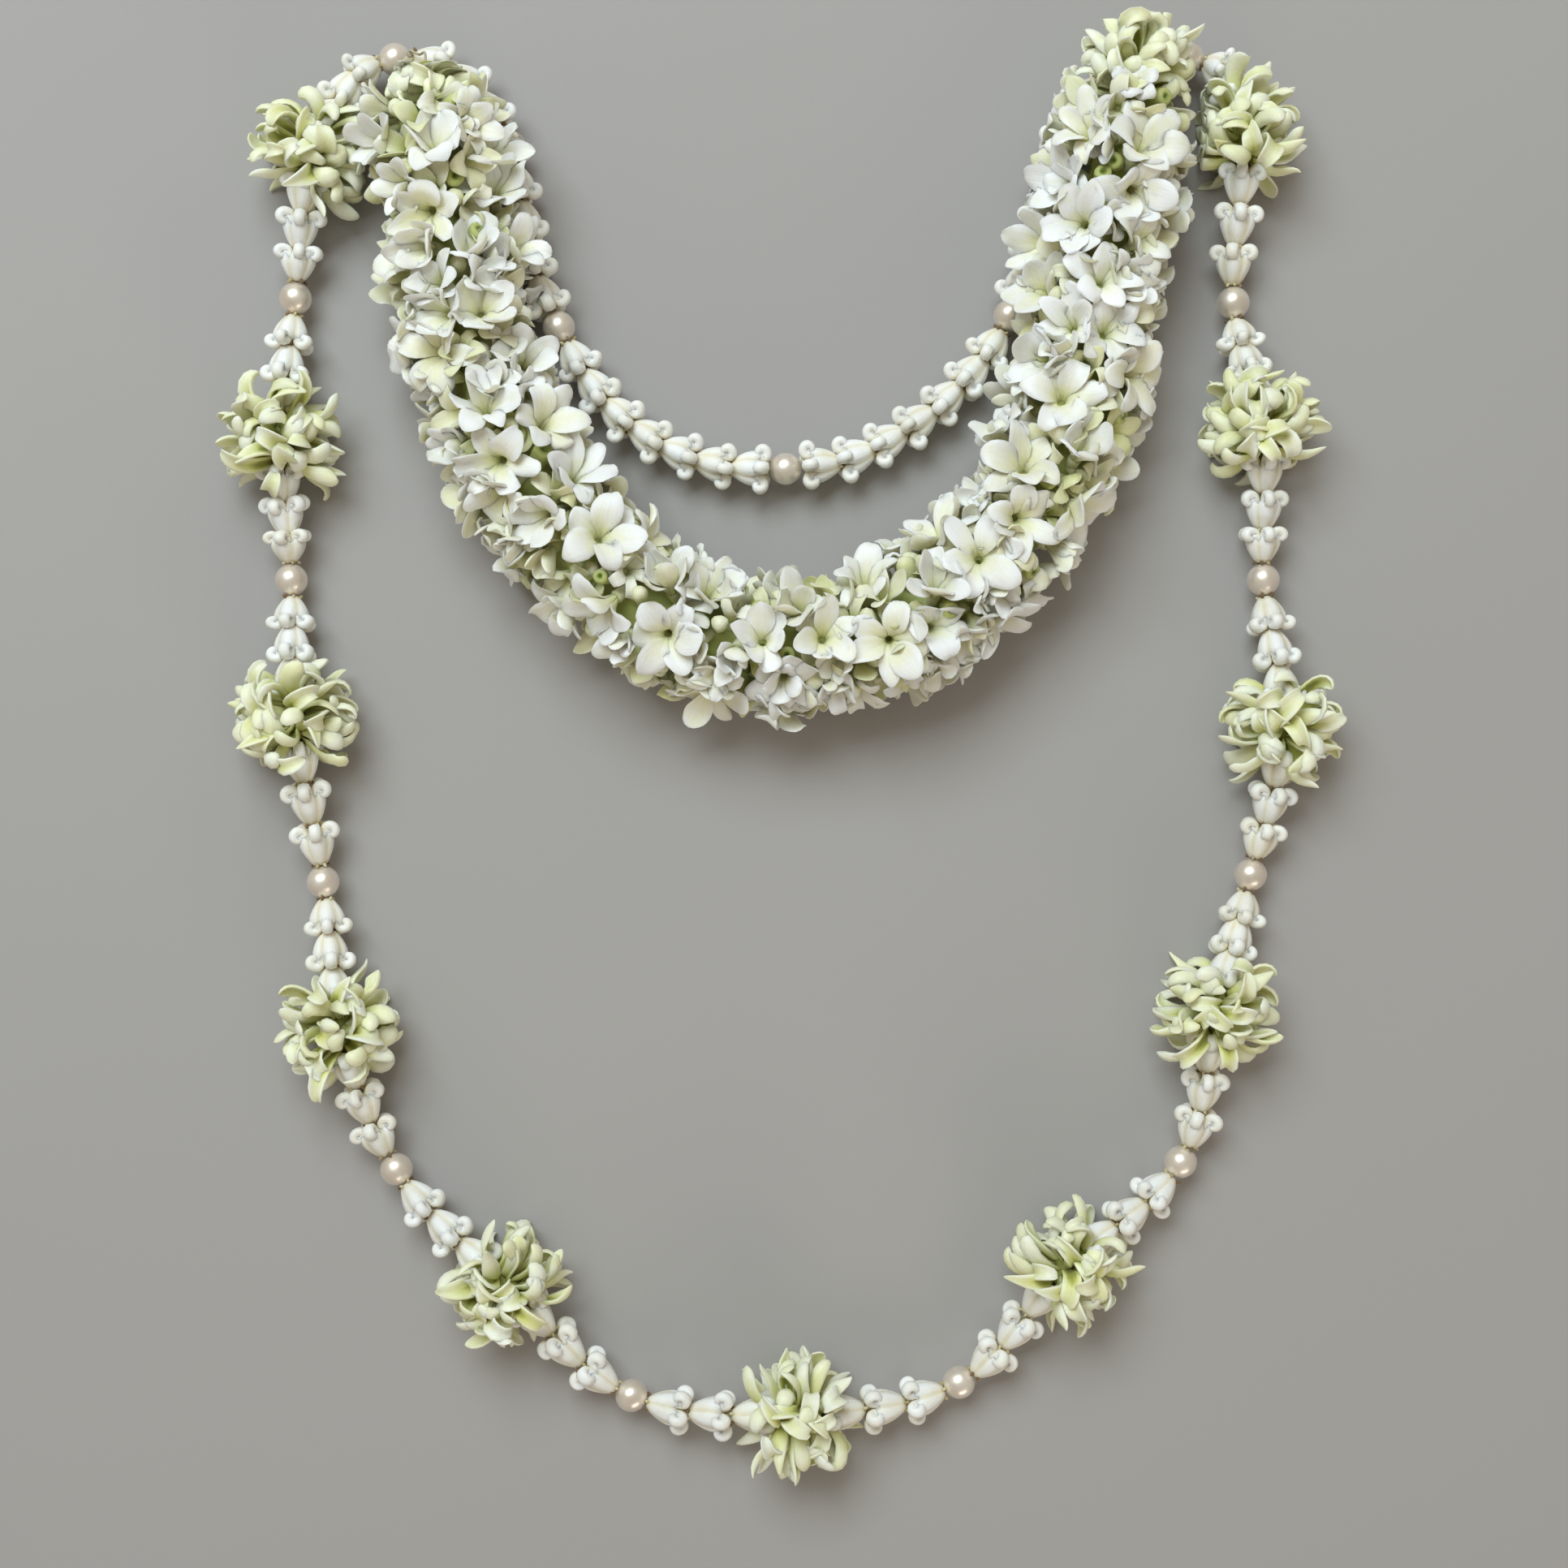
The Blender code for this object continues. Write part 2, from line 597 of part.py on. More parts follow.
def lay_strand():
    """Every bead and run of crowns of the long strand, and the thread through them.
    Gives back the line past the rope, for its clearance, and the two tie places."""
    route, beads = strand_stations()
    count = len(beads)
    halves = {"pearl": pearl_half(), "pompon": POMPON_HALF}
    thread, ties = [], []
    for i, bead in enumerate(beads):
        tied_before, tied_after = bead["name"] == "pearl_01", bead["name"] == "pearl_12"
        bead["gaps"] = (TIE_GAP if tied_before else JOINT_GAP, TIE_GAP if tied_after else JOINT_GAP)
        reach = halves[bead["kind"]]
        bead["start"] = bead["far"] - reach - bead["gaps"][0] / 2
        bead["end"] = bead["far"] + reach + bead["gaps"][1] / 2
    for i, bead in enumerate(beads):
        ahead = beads[(i + 1) % count]
        bead["line"] = [route.at(bead["start"]), route.at(bead["end"])]
        bead["crowns"] = INNER_CROWNS.get(bead["name"], OUTER_CROWNS)
        stop = ahead["start"] + (route.length if i == count - 1 else 0.0)
        bead["run"] = [route.at(bead["end"] + (stop - bead["end"]) * k / bead["crowns"])
                       for k in range(bead["crowns"] + 1)]
        thread += [bead["line"][0]] + bead["run"][:-1]
    ways = bends(thread, closed=True)
    here = 0
    for i, bead in enumerate(beads):
        ahead = beads[(i + 1) % count]
        stop = (here + 1 + bead["crowns"]) % len(thread)
        add_bead(bead, (ways[here], ways[here + 1]))
        inner = bead["name"] in INNER_CROWNS
        narrow_first = bead["name"] in NARROW_FIRST if inner else bead["kind"] == "pearl"
        run, gaps = bead["run"], (bead["gaps"][1], ahead["gaps"][0])
        joints = (ways[here + 1], ways[stop])
        if not narrow_first:
            run, gaps, joints = run[::-1], gaps[::-1], (-joints[1], -joints[0])
        turn = math.pi / 2 + CROWN_TURN * random.Random(f"crowns {i}").uniform(-1, 1)
        last_scroll = CROWN_SCROLL if inner else CROWN_BURIED_SCROLL
        crowns(f"crowns_{i + 1:02d}", run, gaps, joints, turn, last_scroll)
        if bead["name"] == "pearl_12":
            ties.append((thread[here + 1], ways[here + 1]))
            near_rope = thread[here - OUTER_CROWNS:]
        here = stop
    ties.insert(0, (thread[0], ways[0]))
    near_rope += thread[:2 + OUTER_CROWNS]
    tube("long_thread", thread, THREAD_RADIUS, THREAD_SIDES, "thread", closed=True)
    return near_rope, ties


def add_bead(bead, ways):
    """One pearl or pompon between two points of the thread."""
    if bead["kind"] == "pearl":
        pearl(bead["name"], bead["line"], bead["gaps"])
        return
    limits = []
    if bead["name"] in ("pompon_01", "pompon_11"):
        inward = Vector((1, 0, 0)) if bead["line"][0].x < 0 else Vector((-1, 0, 0))
        limits = [(-NEAR_ROPE_LIMIT * inward, inward)]
    lean = math.radians(LEANS.get(bead["name"], 0))
    pompon(bead["name"], bead["line"], ways, lean, limits)


def rope_core(name, line, joints):
    """A bored core along one length of the rope, between the planes of its two joints."""
    first, last = (line[1] - line[0]).normalized(), (line[-1] - line[-2]).normalized()
    gap = JOINT_GAP / 2
    places = [line[0] + gap * first] + line[1:-1] + [line[-1] - gap * last]
    ways = [joints[0]] + bends(line)[1:-1] + [joints[1]]
    skin = Skin()
    outside = [skin.add(ring(place, way, [CORE_RADIUS] * CORE_SIDES))
               for place, way in zip(places, ways)]
    inside = [skin.add(ring(place, way, [CHANNEL_RADIUS] * CORE_SIDES))
              for place, way in zip(places, ways)]
    skin.join(outside)
    skin.join(inside)
    bridge(skin.faces, outside[0], inside[0])
    bridge(skin.faces, outside[-1], inside[-1])
    return add_object(name, skin.points, skin.faces, "tuberose")


def lay_rope(clearances):
    """The thick rope of florets, in four lengths, and its middle line."""
    route = Route([Vector(point) for point in ROPE], closed=False)
    pitch = route.length / ROPE_RINGS
    line = [route.at(k * pitch) for k in range(ROPE_RINGS + 1)]
    ways = bends(line)
    places = floret_places(line)
    for number, (low, high) in enumerate(zip(ROPE_NODE_ENDS, ROPE_NODE_ENDS[1:]), 1):
        core = rope_core(f"tuberose_rope_{number}", line[low:high + 1], (ways[low], ways[high]))
        ends = [(line[low] + JOINT_GAP / 2 * ways[low], -ways[low]),
                (line[high] - JOINT_GAP / 2 * ways[high], ways[high])]
        blooms = [floret(f"floret_{i:03d}", here, cell_walls(here, places) + ends)
                  for i, here in enumerate(places) if low <= here["ring"] < high]
        fuse(core, blooms, clearances)
        remove(blooms)
    return line


def lay_ends(line, ties, clearance):
    """The pompon at each end of the rope, and the thread that ties both to the strand."""
    ends = []
    for spec, (tie, _) in zip(END_POMPONS, ties):
        tip = line[0] if spec["rope_end"] == 0 else line[-1]
        before = line[1] if spec["rope_end"] == 0 else line[-2]
        along = (tip - before).normalized()
        start = tip.copy()
        end = start + (2 * POMPON_HALF + JOINT_GAP) * along
        end.z = spec["height"]
        along = (end - start).normalized()
        limits = [(start + JOINT_GAP / 2 * along, -along),
                  (Vector((0, spec["far"], 0)), Vector((0, 1, 0)))]
        made = pompon(spec["name"], (start, end), (along, along), spec["lean"], limits)
        upright = Vector((0, 0, 1))
        drop = Route([end, end + TAIL_BEND * along - TAIL_SAG * upright,
                      (end + TAIL_BEND * along).lerp(tie, 0.5),
                      tie + TAIL_HOVER * upright, tie + TIE_RADIUS * upright], closed=False)
        tail = [drop.at(drop.length * k / TAIL_PARTS) for k in range(TAIL_PARTS + 1)]
        sleeve = tube("sleeve", tail[1:], 2 * THREAD_RADIUS, ROUND_SIDES, "thread")
        fuse(made, [], [clearance, sleeve])
        remove([sleeve])
        ends.append(tail)
    return ends


def tie_ring(name, centre, along):
    """A small ring of thread round the long thread."""
    line = ring(centre, along, [TIE_RADIUS] * ROUND_SIDES)
    return tube(name, line, THREAD_RADIUS, TIE_SIDES, "thread", closed=True)


def lay_rope_thread(line, ends, ties):
    """The thread through the rope and its end pompons, tied round the long thread."""
    whole = ends[0][::-1] + line + ends[1]
    made = tube("rope_thread", whole, THREAD_RADIUS, THREAD_SIDES, "thread")
    rings = [tie_ring(f"tie_{i}", place, way) for i, (place, way) in enumerate(ties)]
    fuse(made, rings, [])
    remove(rings)


def stand_on_origin():
    """Move everything so that the lowest point is at height 0 and the middle at the origin."""
    solids = [item for item in bpy.context.scene.objects if item.type == "MESH"]
    corners = [vertex.co for item in solids for vertex in item.data.vertices]
    low = Vector([min(corner[i] for corner in corners) for i in range(3)])
    high = Vector([max(corner[i] for corner in corners) for i in range(3)])
    shift = Vector(((low.x + high.x) / 2, (low.y + high.y) / 2, low.z))
    for item in solids:
        item.data.transform(Matrix.Translation(-shift))


def main():
    for item in list(bpy.data.objects):
        bpy.data.objects.remove(item)
    near_rope, ties = lay_strand()
    clearance = tube("clearance", near_rope, STRAND_CLEARANCE, ROUND_SIDES, "thread")
    beside = [hull(f"hull_{name}", bpy.data.objects[name], HULL_CLEARANCE)
              for name in ("pompon_01", "pompon_11")]
    line = lay_rope([clearance] + beside)
    ends = lay_ends(line, ties, clearance)
    lay_rope_thread(line, ends, ties)
    remove([clearance] + beside)
    stand_on_origin()


main()
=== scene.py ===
"""The looks of a flower lei laid flat: a thick U of tuberose florets, and one long looped
strand of crown flowers, pearls and petal pompons."""

import functools
import math
import random

import bpy
import numpy as np
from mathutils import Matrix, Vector


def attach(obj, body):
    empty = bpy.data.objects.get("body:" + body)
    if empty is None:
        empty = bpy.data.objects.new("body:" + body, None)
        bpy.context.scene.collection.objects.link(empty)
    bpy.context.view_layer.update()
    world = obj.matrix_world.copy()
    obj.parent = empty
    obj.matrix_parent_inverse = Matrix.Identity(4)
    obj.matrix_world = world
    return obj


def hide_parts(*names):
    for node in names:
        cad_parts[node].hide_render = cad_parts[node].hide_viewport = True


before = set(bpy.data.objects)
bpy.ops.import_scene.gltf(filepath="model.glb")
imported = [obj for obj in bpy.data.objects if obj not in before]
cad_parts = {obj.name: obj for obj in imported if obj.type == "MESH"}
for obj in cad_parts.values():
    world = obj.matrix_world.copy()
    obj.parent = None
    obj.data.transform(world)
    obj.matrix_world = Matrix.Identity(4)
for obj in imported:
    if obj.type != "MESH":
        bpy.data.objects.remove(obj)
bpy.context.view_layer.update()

# Sizes and places are in millimetres, as laid out before the object was centred.
# SHIFT is how far that layout lies from the object's own frame.
MM = 0.001
SHIFT = np.array((-0.04, 11.17, 0.0))
# Points this near the floor or the object's full height are eased back, and low petals splay
FLOOR_SOFT = 1.6
FLOOR_SPLAY = 3.0
CEILING = 44.7
CEILING_SOFT = 3.0

# The solids' own sizes, which the finer pieces follow
PEARL_RADIUS = 5.0
CHANNEL_RADIUS = 0.95
RIBS = 5
POMPON_HALF = 6.9
POMPON_ROWS_HALF = 5.25
JOINT_GAP = 0.36
# The rope is tied on before the first of these pearls and past the second
TIED_PEARLS = ("pearl_01", "pearl_12")
TIE_GAP = 1.7
TIE_RADIUS = 1.25
TAIL_BEND = 2.8
TAIL_SAG = 1.0
TAIL_HOVER = 6.0
TAIL_PARTS = 30
TIE_WRAPS = 2.6
TIE_SPREAD = 0.55
THREAD_RADIUS = 0.42
ROPE_RINGS = 21
FLORETS_A_RING = 5
FLORET_RADIUS = 12.4
FLORET_NOTCH_HEIGHT = 17.0
FLORET_NECK_HEIGHT = 11.4
FLORET_FOOT_ANGLE = math.radians(17)
FLORET_ALONG = 0.2
FLORET_ASIDE = 0.14
NEIGHBOUR_REACH = 3 * FLORET_RADIUS
CROWN_TURN = 0.3
HEIGHTS = {"pearl": 8.4, "pompon": 14.0, "bend": 8.2, "rise": 10.5}
STRAND = [
    ("pearl", -120.2, 224.5), ("rise", -132.5, 217.0), ("rise", -139.0, 206.0),
    ("pompon", -145.2, 194.0), ("pearl", -150.8, 149.8), ("pompon", -154.0, 105.2),
    ("pearl", -152.0, 63.0), ("pompon", -149.8, 20.2), ("pearl", -142.2, -30.2),
    ("pompon", -135.8, -74.8), ("pearl", -119.8, -119.0), ("pompon", -85.2, -153.5),
    ("pearl", -47.2, -189.0), ("pompon", 4.8, -193.0), ("pearl", 54.2, -185.0),
    ("pompon", 86.8, -147.2), ("pearl", 122.8, -116.8), ("pompon", 132.2, -69.2),
    ("pearl", 144.0, -28.0), ("pompon", 152.8, 17.8), ("pearl", 147.8, 63.0),
    ("pompon", 146.5, 108.2), ("pearl", 138.5, 148.5), ("pompon", 141.0, 197.0),
    ("rise", 139.0, 212.0), ("rise", 133.5, 221.0), ("pearl", 124.5, 223.5),
    ("bend", 114.5, 226.0), ("bend", 103.0, 222.0), ("bend", 94.0, 213.0),
    ("bend", 87.5, 203.0), ("bend", 83.5, 191.5), ("bend", 80.5, 178.0),
    ("bend", 77.0, 164.0), ("pearl", 69.8, 144.5), ("bend", 60.0, 129.0),
    ("bend", 42.0, 112.0), ("bend", 21.0, 100.5), ("pearl", 0.5, 97.2),
    ("bend", -20.0, 98.5), ("bend", -39.5, 105.5), ("bend", -56.5, 119.5),
    ("pearl", -69.5, 141.0), ("bend", -77.0, 157.0), ("bend", -80.0, 172.0),
    ("bend", -83.5, 188.5), ("bend", -88.5, 203.5), ("bend", -96.0, 215.0),
    ("bend", -107.0, 222.5),
]
# Crown flowers in a run, and the inner runs whose first flower starts at its narrow end
OUTER_CROWNS = 3
INNER_CROWNS = {"pearl_12": 8, "pearl_13": 7, "pearl_14": 7, "pearl_15": 8}
NARROW_FIRST = ("pearl_12", "pearl_13")
ROPE = [
    (-106.5, 204.5, 22.0), (-103.0, 178.0, 20.5), (-98.6, 147.5, 19.4), (-91.0, 120.0, 19.4),
    (-78.8, 92.5, 19.4), (-57.2, 65.6, 19.4), (-29.5, 46.6, 19.4), (1.0, 41.0, 19.4),
    (31.2, 46.2, 19.4), (58.4, 64.2, 19.4), (78.6, 89.0, 19.4), (89.2, 119.6, 19.4),
    (94.2, 150.5, 19.4), (99.2, 178.6, 20.5), (104.8, 206.0, 22.5),
]
ROPE_NODE_ENDS = (0, 5, 10, 16, 21)
# The pompons that end the rope. Their petals stay short of "far", are this much less green
# than the others' and reach this share of their length.
END_POMPONS = [
    {"name": "pompon_12", "rope_end": 0, "lean": 12, "height": 23.0, "far": 214.5,
     "paler": 1.1, "reach": 0.8},
    {"name": "pompon_13", "rope_end": -1, "lean": 30, "height": 25.5, "far": 229.5,
     "paler": 0.1, "reach": 1.0},
]
THROAT_REACH = 14.6
THROAT_RISE = 3.4
# The blooms that show in the photograph: the place of each throat, the direction that it
# faces (0 is east, 90 north), its lean from upright, how far its petals stand up from flat,
# its turn, and its size
BLOOMS = [
    (-119.4, 193.3, 200, 35, 48, 20, 1.0), (-103.4, 187.5, 100, 32, 50, 10, 1.05),
    (-89.2, 188.5, 60, 35, 45, 30, 1.05), (-112.6, 178.8, 215, 35, 52, 0, 0.9),
    (-87.7, 178.3, 80, 25, 45, 20, 1.05), (-104.9, 170.1, 240, 25, 35, 10, 1.05),
    (-105.8, 159.5, 200, 25, 48, 40, 1.05), (-83.1, 160.9, 20, 40, 55, 0, 0.95),
    (-101.7, 148.4, 170, 20, 58, 15, 0.95), (-90.4, 140.2, 60, 12, 32, 95, 1.15),
    (-100.0, 139.7, 190, 30, 34, 30, 1.08), (-102.2, 128.6, 200, 22, 30, 5, 1.05),
    (-78.8, 125.7, 30, 30, 55, 20, 1.0), (-88.5, 110.7, 95, 30, 42, 60, 1.08),
    (-73.0, 106.8, 40, 34, 45, 10, 1.1), (-84.1, 96.2, 230, 22, 32, 25, 1.1),
    (-63.3, 91.3, 60, 30, 50, 40, 1.05), (-70.6, 79.8, 215, 34, 34, 15, 1.0),
    (-55.1, 73.0, 50, 24, 30, 50, 1.15), (-51.7, 54.1, 225, 60, 28, 20, 1.1),
    (-83.6, 87.0, 225, 58, 35, 10, 1.0), (-34.6, 44.5, 260, 15, 24, 5, 1.08),
    (-33.8, 59.0, 110, 34, 54, 30, 1.05), (-22.7, 56.1, 60, 30, 50, 15, 1.0),
    (-6.3, 42.5, 80, 12, 34, 15, 1.02), (-14.5, 39.1, 250, 32, 60, 30, 0.9),
    (-47.4, 43.5, 230, 26, 66, 0, 0.85), (11.4, 43.3, 75, 14, 40, 40, 0.98),
    (4.3, 50.8, 95, 30, 58, 10, 1.0), (31.4, 42.8, 275, 8, 22, 36, 1.08),
    (45.0, 57.5, 75, 28, 48, 20, 1.1), (24.2, 59.0, 100, 34, 52, 0, 1.0),
    (58.0, 66.9, 120, 6, 18, 48, 1.12), (69.1, 78.8, 320, 22, 42, 20, 1.05),
    (86.0, 83.1, 330, 58, 30, 25, 1.1), (71.5, 93.5, 110, 20, 34, 40, 1.1),
    (87.5, 98.1, 60, 22, 48, 15, 1.08), (82.7, 114.1, 110, 16, 28, 58, 1.12),
    (95.2, 133.9, 40, 15, 30, 15, 1.1), (86.0, 135.8, 150, 24, 45, 40, 1.0),
    (78.8, 127.1, 190, 30, 42, 10, 1.05), (102.0, 122.8, 350, 40, 32, 20, 1.1),
    (94.2, 148.9, 60, 14, 35, 20, 1.02), (79.8, 148.4, 160, 30, 44, 10, 1.0),
    (104.9, 187.1, 50, 24, 46, 35, 1.18), (103.4, 176.4, 290, 20, 36, 15, 1.05),
    (89.4, 166.8, 200, 20, 36, 50, 1.08), (91.8, 193.3, 140, 34, 45, 25, 1.0),
    (79.8, 163.4, 185, 42, 35, 0, 1.0), (104.9, 160.9, 20, 26, 55, 10, 0.95),
]
# Cut tubes and buds that show in the photograph
CUT_TUBES = [
    (-52.9, 61.4), (-39.4, 52.4), (78.8, 90.9), (93.8, 179.8), (-7.2, 50.5), (48.8, 52.7),
    (-73.0, 96.7), (99.1, 111.4), (-92.8, 163.4),
]
BUDS = [(-19.1, 47.9), (-42.5, 53.4), (-98.1, 152.5), (-117.5, 154.9)]
# Room that a seen bloom, a bloom beside a gap, and what fills a gap take up
BLOOM_ROOM = 13.5
BLOOM_GAP = 7.9
FILLER_GAP = 6.9
FILLER_TRIES = 7000
FILLER_LOWEST = -0.45
FILLER_LEVEL = -2.0
# How far the rows of some pompons lean, in degrees, and which of them lie beside the rope
LEANS = {"pompon_02": -4, "pompon_07": 6, "pompon_10": 14, "pompon_11": 22}
BESIDE_ROPE = ("pompon_01", "pompon_11")
NEAR_ROPE_LIMIT = 128.5
PEARL_ROOM = 2.5

# ---------------------------------------------------------------- layout


def unit(vector):
    return vector / np.linalg.norm(vector)


class Route:
    """A smooth curve through points, read by the distance along it."""

    STEPS = 16

    def __init__(self, points, closed):
        points = [np.array(point, float) for point in points]
        self.closed = closed
        count = len(points)
        spans = count if closed else count - 1
        gaps = [np.linalg.norm(points[(i + 1) % count] - points[i]) for i in range(spans)]
        slopes = []
        for i in range(count):
            first = i - 1 if closed or i else i
            last = i + 1 if closed or i < count - 1 else i
            reach = sum(gaps[k] for k in range(first, last))
            slopes.append((points[last % count] - points[first]) / reach)
        line = [points[0]]
        self.knots = [0]
        for i in range(spans):
            start, end = points[i], points[(i + 1) % count]
            pull_out, pull_in = slopes[i] * gaps[i], slopes[(i + 1) % count] * gaps[i]
            for step in range(1, self.STEPS + 1):
                t = step / self.STEPS
                line.append(start * (1 - 3 * t ** 2 + 2 * t ** 3) + end * (3 * t ** 2 - 2 * t ** 3)
                            + pull_out * (t - 2 * t ** 2 + t ** 3) + pull_in * (t ** 3 - t ** 2))
            self.knots.append(len(line) - 1)
        self.line = np.array(line)
        steps = np.linalg.norm(np.diff(self.line, axis=0), axis=1)
        self.far = np.concatenate([[0.0], np.cumsum(steps)])
        self.length = self.far[-1]

    def knot(self, i):
        return self.far[self.knots[i]]

    def at(self, distance):
        if self.closed:
            distance %= self.length
        return np.array([np.interp(distance, self.far, self.line[:, k]) for k in range(3)])

    def split(self, count):
        """Points that part the curve into equal stretches, with both ends."""
        return [self.at(self.length * k / count) for k in range(count + 1)]


def frame_across(along):
    """Two directions across the given one, the second as near to upright as it gets."""
    guide = (0, 0, 1) if abs(along[2]) < 0.95 * np.linalg.norm(along) else (0, 1, 0)
    side = unit(np.cross(along, guide))
    return side, unit(np.cross(side, along))


def around(angle, first, second):
    """The direction at an angle from the first of two directions towards the second."""
    return math.cos(angle) * first + math.sin(angle) * second


def bends(line, closed=False):
    """The direction of a line at each of its points, halfway between its two stretches."""
    count = len(line)
    ways = []
    for i in range(count):
        before = line[i] - line[i - 1] if closed or i > 0 else line[1] - line[0]
        after = line[(i + 1) % count] - line[i] if closed or i < count - 1 else before
        ways.append(unit(unit(before) + unit(after)))
    return ways


def finer(line, parts, closed=False):
    """The same line with each stretch split into equal parts."""
    ends = zip(line, line[1:] + line[:1] if closed else line[1:])
    points = [here + (ahead - here) * k / parts for here, ahead in ends for k in range(parts)]
    return points if closed else points + [line[-1]]


def lay_strand(route):
    """The beads of the long strand with their lines and runs of crowns, its thread, and
    the two places on the thread where the rope is tied."""
    counts = {"pearl": 0, "pompon": 0}
    halves = {"pearl": math.sqrt(PEARL_RADIUS ** 2 - CHANNEL_RADIUS ** 2), "pompon": POMPON_HALF}
    beads = []
    for i, (kind, _, _) in enumerate(STRAND):
        if kind not in counts:
            continue
        counts[kind] += 1
        name = f"{kind}_{counts[kind]:02d}"
        gaps = [TIE_GAP if name == tied else JOINT_GAP for tied in TIED_PEARLS]
        far = route.knot(i)
        beads.append({"name": name, "kind": kind, "gaps": gaps,
                      "start": far - halves[kind] - gaps[0] / 2,
                      "end": far + halves[kind] + gaps[1] / 2})
    thread, tied = [], [0]
    for i, bead in enumerate(beads):
        ahead = beads[(i + 1) % len(beads)]
        if bead["name"] == TIED_PEARLS[1]:
            tied.append(len(thread) + 1)
        bead["line"] = [route.at(bead["start"]), route.at(bead["end"])]
        count = INNER_CROWNS.get(bead["name"], OUTER_CROWNS)
        stop = ahead["start"] + (route.length if i == len(beads) - 1 else 0.0)
        run = [route.at(bead["end"] + (stop - bead["end"]) * k / count) for k in range(count + 1)]
        thread += [bead["line"][0]] + run[:-1]
        inner = bead["name"] in INNER_CROWNS
        narrow_first = bead["name"] in NARROW_FIRST if inner else bead["kind"] == "pearl"
        bead["run"] = run if narrow_first else run[::-1]
        bead["turn"] = math.pi / 2 + CROWN_TURN * random.Random(f"crowns {i}").uniform(-1, 1)
    ways = bends(thread, closed=True)
    return beads, thread, [(thread[i], ways[i]) for i in tied]


# ---------------------------------------------------------------- bodies


def smooth(low, high, value):
    share = np.clip((value - low) / (high - low), 0.0, 1.0)
    return share * share * (3 - 2 * share)


def placed(points, origin, x_way, y_way, z_way):
    """Points of a body's own frame, taken to the given place and directions."""
    return origin + points[:, :1] * x_way + points[:, 1:2] * y_way + points[:, 2:3] * z_way


def turned(vector, axis, angle):
    """A vector turned about a unit axis."""
    return (vector * math.cos(angle) + np.cross(axis, vector) * math.sin(angle)
            + axis * np.dot(axis, vector) * (1 - math.cos(angle)))


def spins(sides):
    return 2 * np.pi * np.arange(sides) / sides


def ring_faces(rings, sides, closed=False):
    """Quads between rings of points, then the two end faces unless the rings form a loop."""
    grid = np.arange(rings * sides).reshape(rings, sides)
    ahead = np.roll(grid, -1, 1)
    quads = np.stack([grid, np.roll(grid, -1, 0), np.roll(ahead, -1, 0), ahead], -1)
    if closed:
        return [quads.reshape(-1, 4)]
    return [quads[:-1].reshape(-1, 4), grid[:1, ::-1], grid[-1:]]


def fan_faces(rings, sides):
    """Quads between rings of points, then fans to two end points that follow the rings."""
    first = np.arange(sides)
    last = first + (rings - 1) * sides
    end = np.full(sides, rings * sides)
    return [ring_faces(rings, sides)[0], np.stack([first, np.roll(first, -1), end], -1),
            np.stack([np.roll(last, -1), last, end + 1], -1)]


def flipped(faces):
    """Groups of faces with their corners the other way round."""
    return [group[:, ::-1] for group in faces]


def with_ends(rows):
    """The values of a turned body's rings, then those of its two end points."""
    return np.concatenate([rows[1:-1].reshape(-1, rows.shape[-1]), rows[[0, -1], 0]])


def revolve(heights, radii, spin):
    """Rings of points about z. Each radius is one number, or one for each point."""
    return np.array([np.column_stack([radius * np.cos(spin), radius * np.sin(spin),
                                      np.full(len(spin), height)])
                     for height, radius in zip(heights, radii)])


def tones(count, green, cream, mark):
    """How green and how creamy each point is, and which body it is on."""
    tone = np.ones((count, 4))
    tone[:, 0], tone[:, 1], tone[:, 2] = green, cream, mark
    return tone


class Pile:
    """Closed bodies gathered into one mesh, with the tone and grain of each point.
    Grain is a point's place on its own body."""

    def __init__(self):
        self.points, self.faces, self.tones, self.grains, self.rims = [], [], [], [], []
        self.count = 0

    def put(self, points, faces, tone, grain, rim=None):
        """Add a body with its groups of faces as they are. An edge stays sharp where both
        its ends are on the rim."""
        for group in faces:
            self.faces += (group + self.count).tolist()
        self.points.append(points)
        self.tones.append(tone)
        self.grains.append(grain)
        if rim is not None:
            self.rims.append(self.count + np.flatnonzero(rim))
        self.count += len(points)

    def add(self, points, faces, tone, grain, rim=None):
        """Add a body with its faces turned outward. The first group of them is quads."""
        a, b, c, d = (points[faces[0][:, k]] for k in range(4))
        if np.einsum("ij,ij", a - points.mean(0), np.cross(c - a, d - b)) < 0:
            faces = flipped(faces)
        self.put(points, faces, tone, grain, rim)


def add_lathe(pile, heights, radii, sides, place, green, cream, mark, wobble=None):
    """Add a body turned about its z, with both ends on the axis. How green it is may be a
    function of the share of the way along it, and wobble one of the angle and the ring."""
    spin = spins(sides)
    if wobble:
        radii = [radius * wobble(spin, k) for k, radius in enumerate(radii)]
    points = with_ends(revolve(heights, radii, spin))
    last = len(heights) - 3
    share = np.concatenate([np.repeat(np.arange(last + 1), sides), [0, last]]) / max(last, 1)
    tone = tones(len(points), green(share) if callable(green) else green, cream, mark)
    pile.add(placed(points, *place), fan_faces(last + 1, sides), tone, points)


def fit(points):
    """Keep points above the floor and under the object's own height, without folding them."""
    z = points[:, 2]
    low = np.minimum(z - FLOOR_SOFT, 0.0)
    z = np.where(z < FLOOR_SOFT, FLOOR_SOFT * np.exp(low / FLOOR_SOFT), z)
    top = CEILING - CEILING_SOFT
    high = np.maximum(z - top, 0.0)
    points[:, 2] = np.where(z > top, CEILING - CEILING_SOFT * np.exp(-high / CEILING_SOFT), z)
    return points


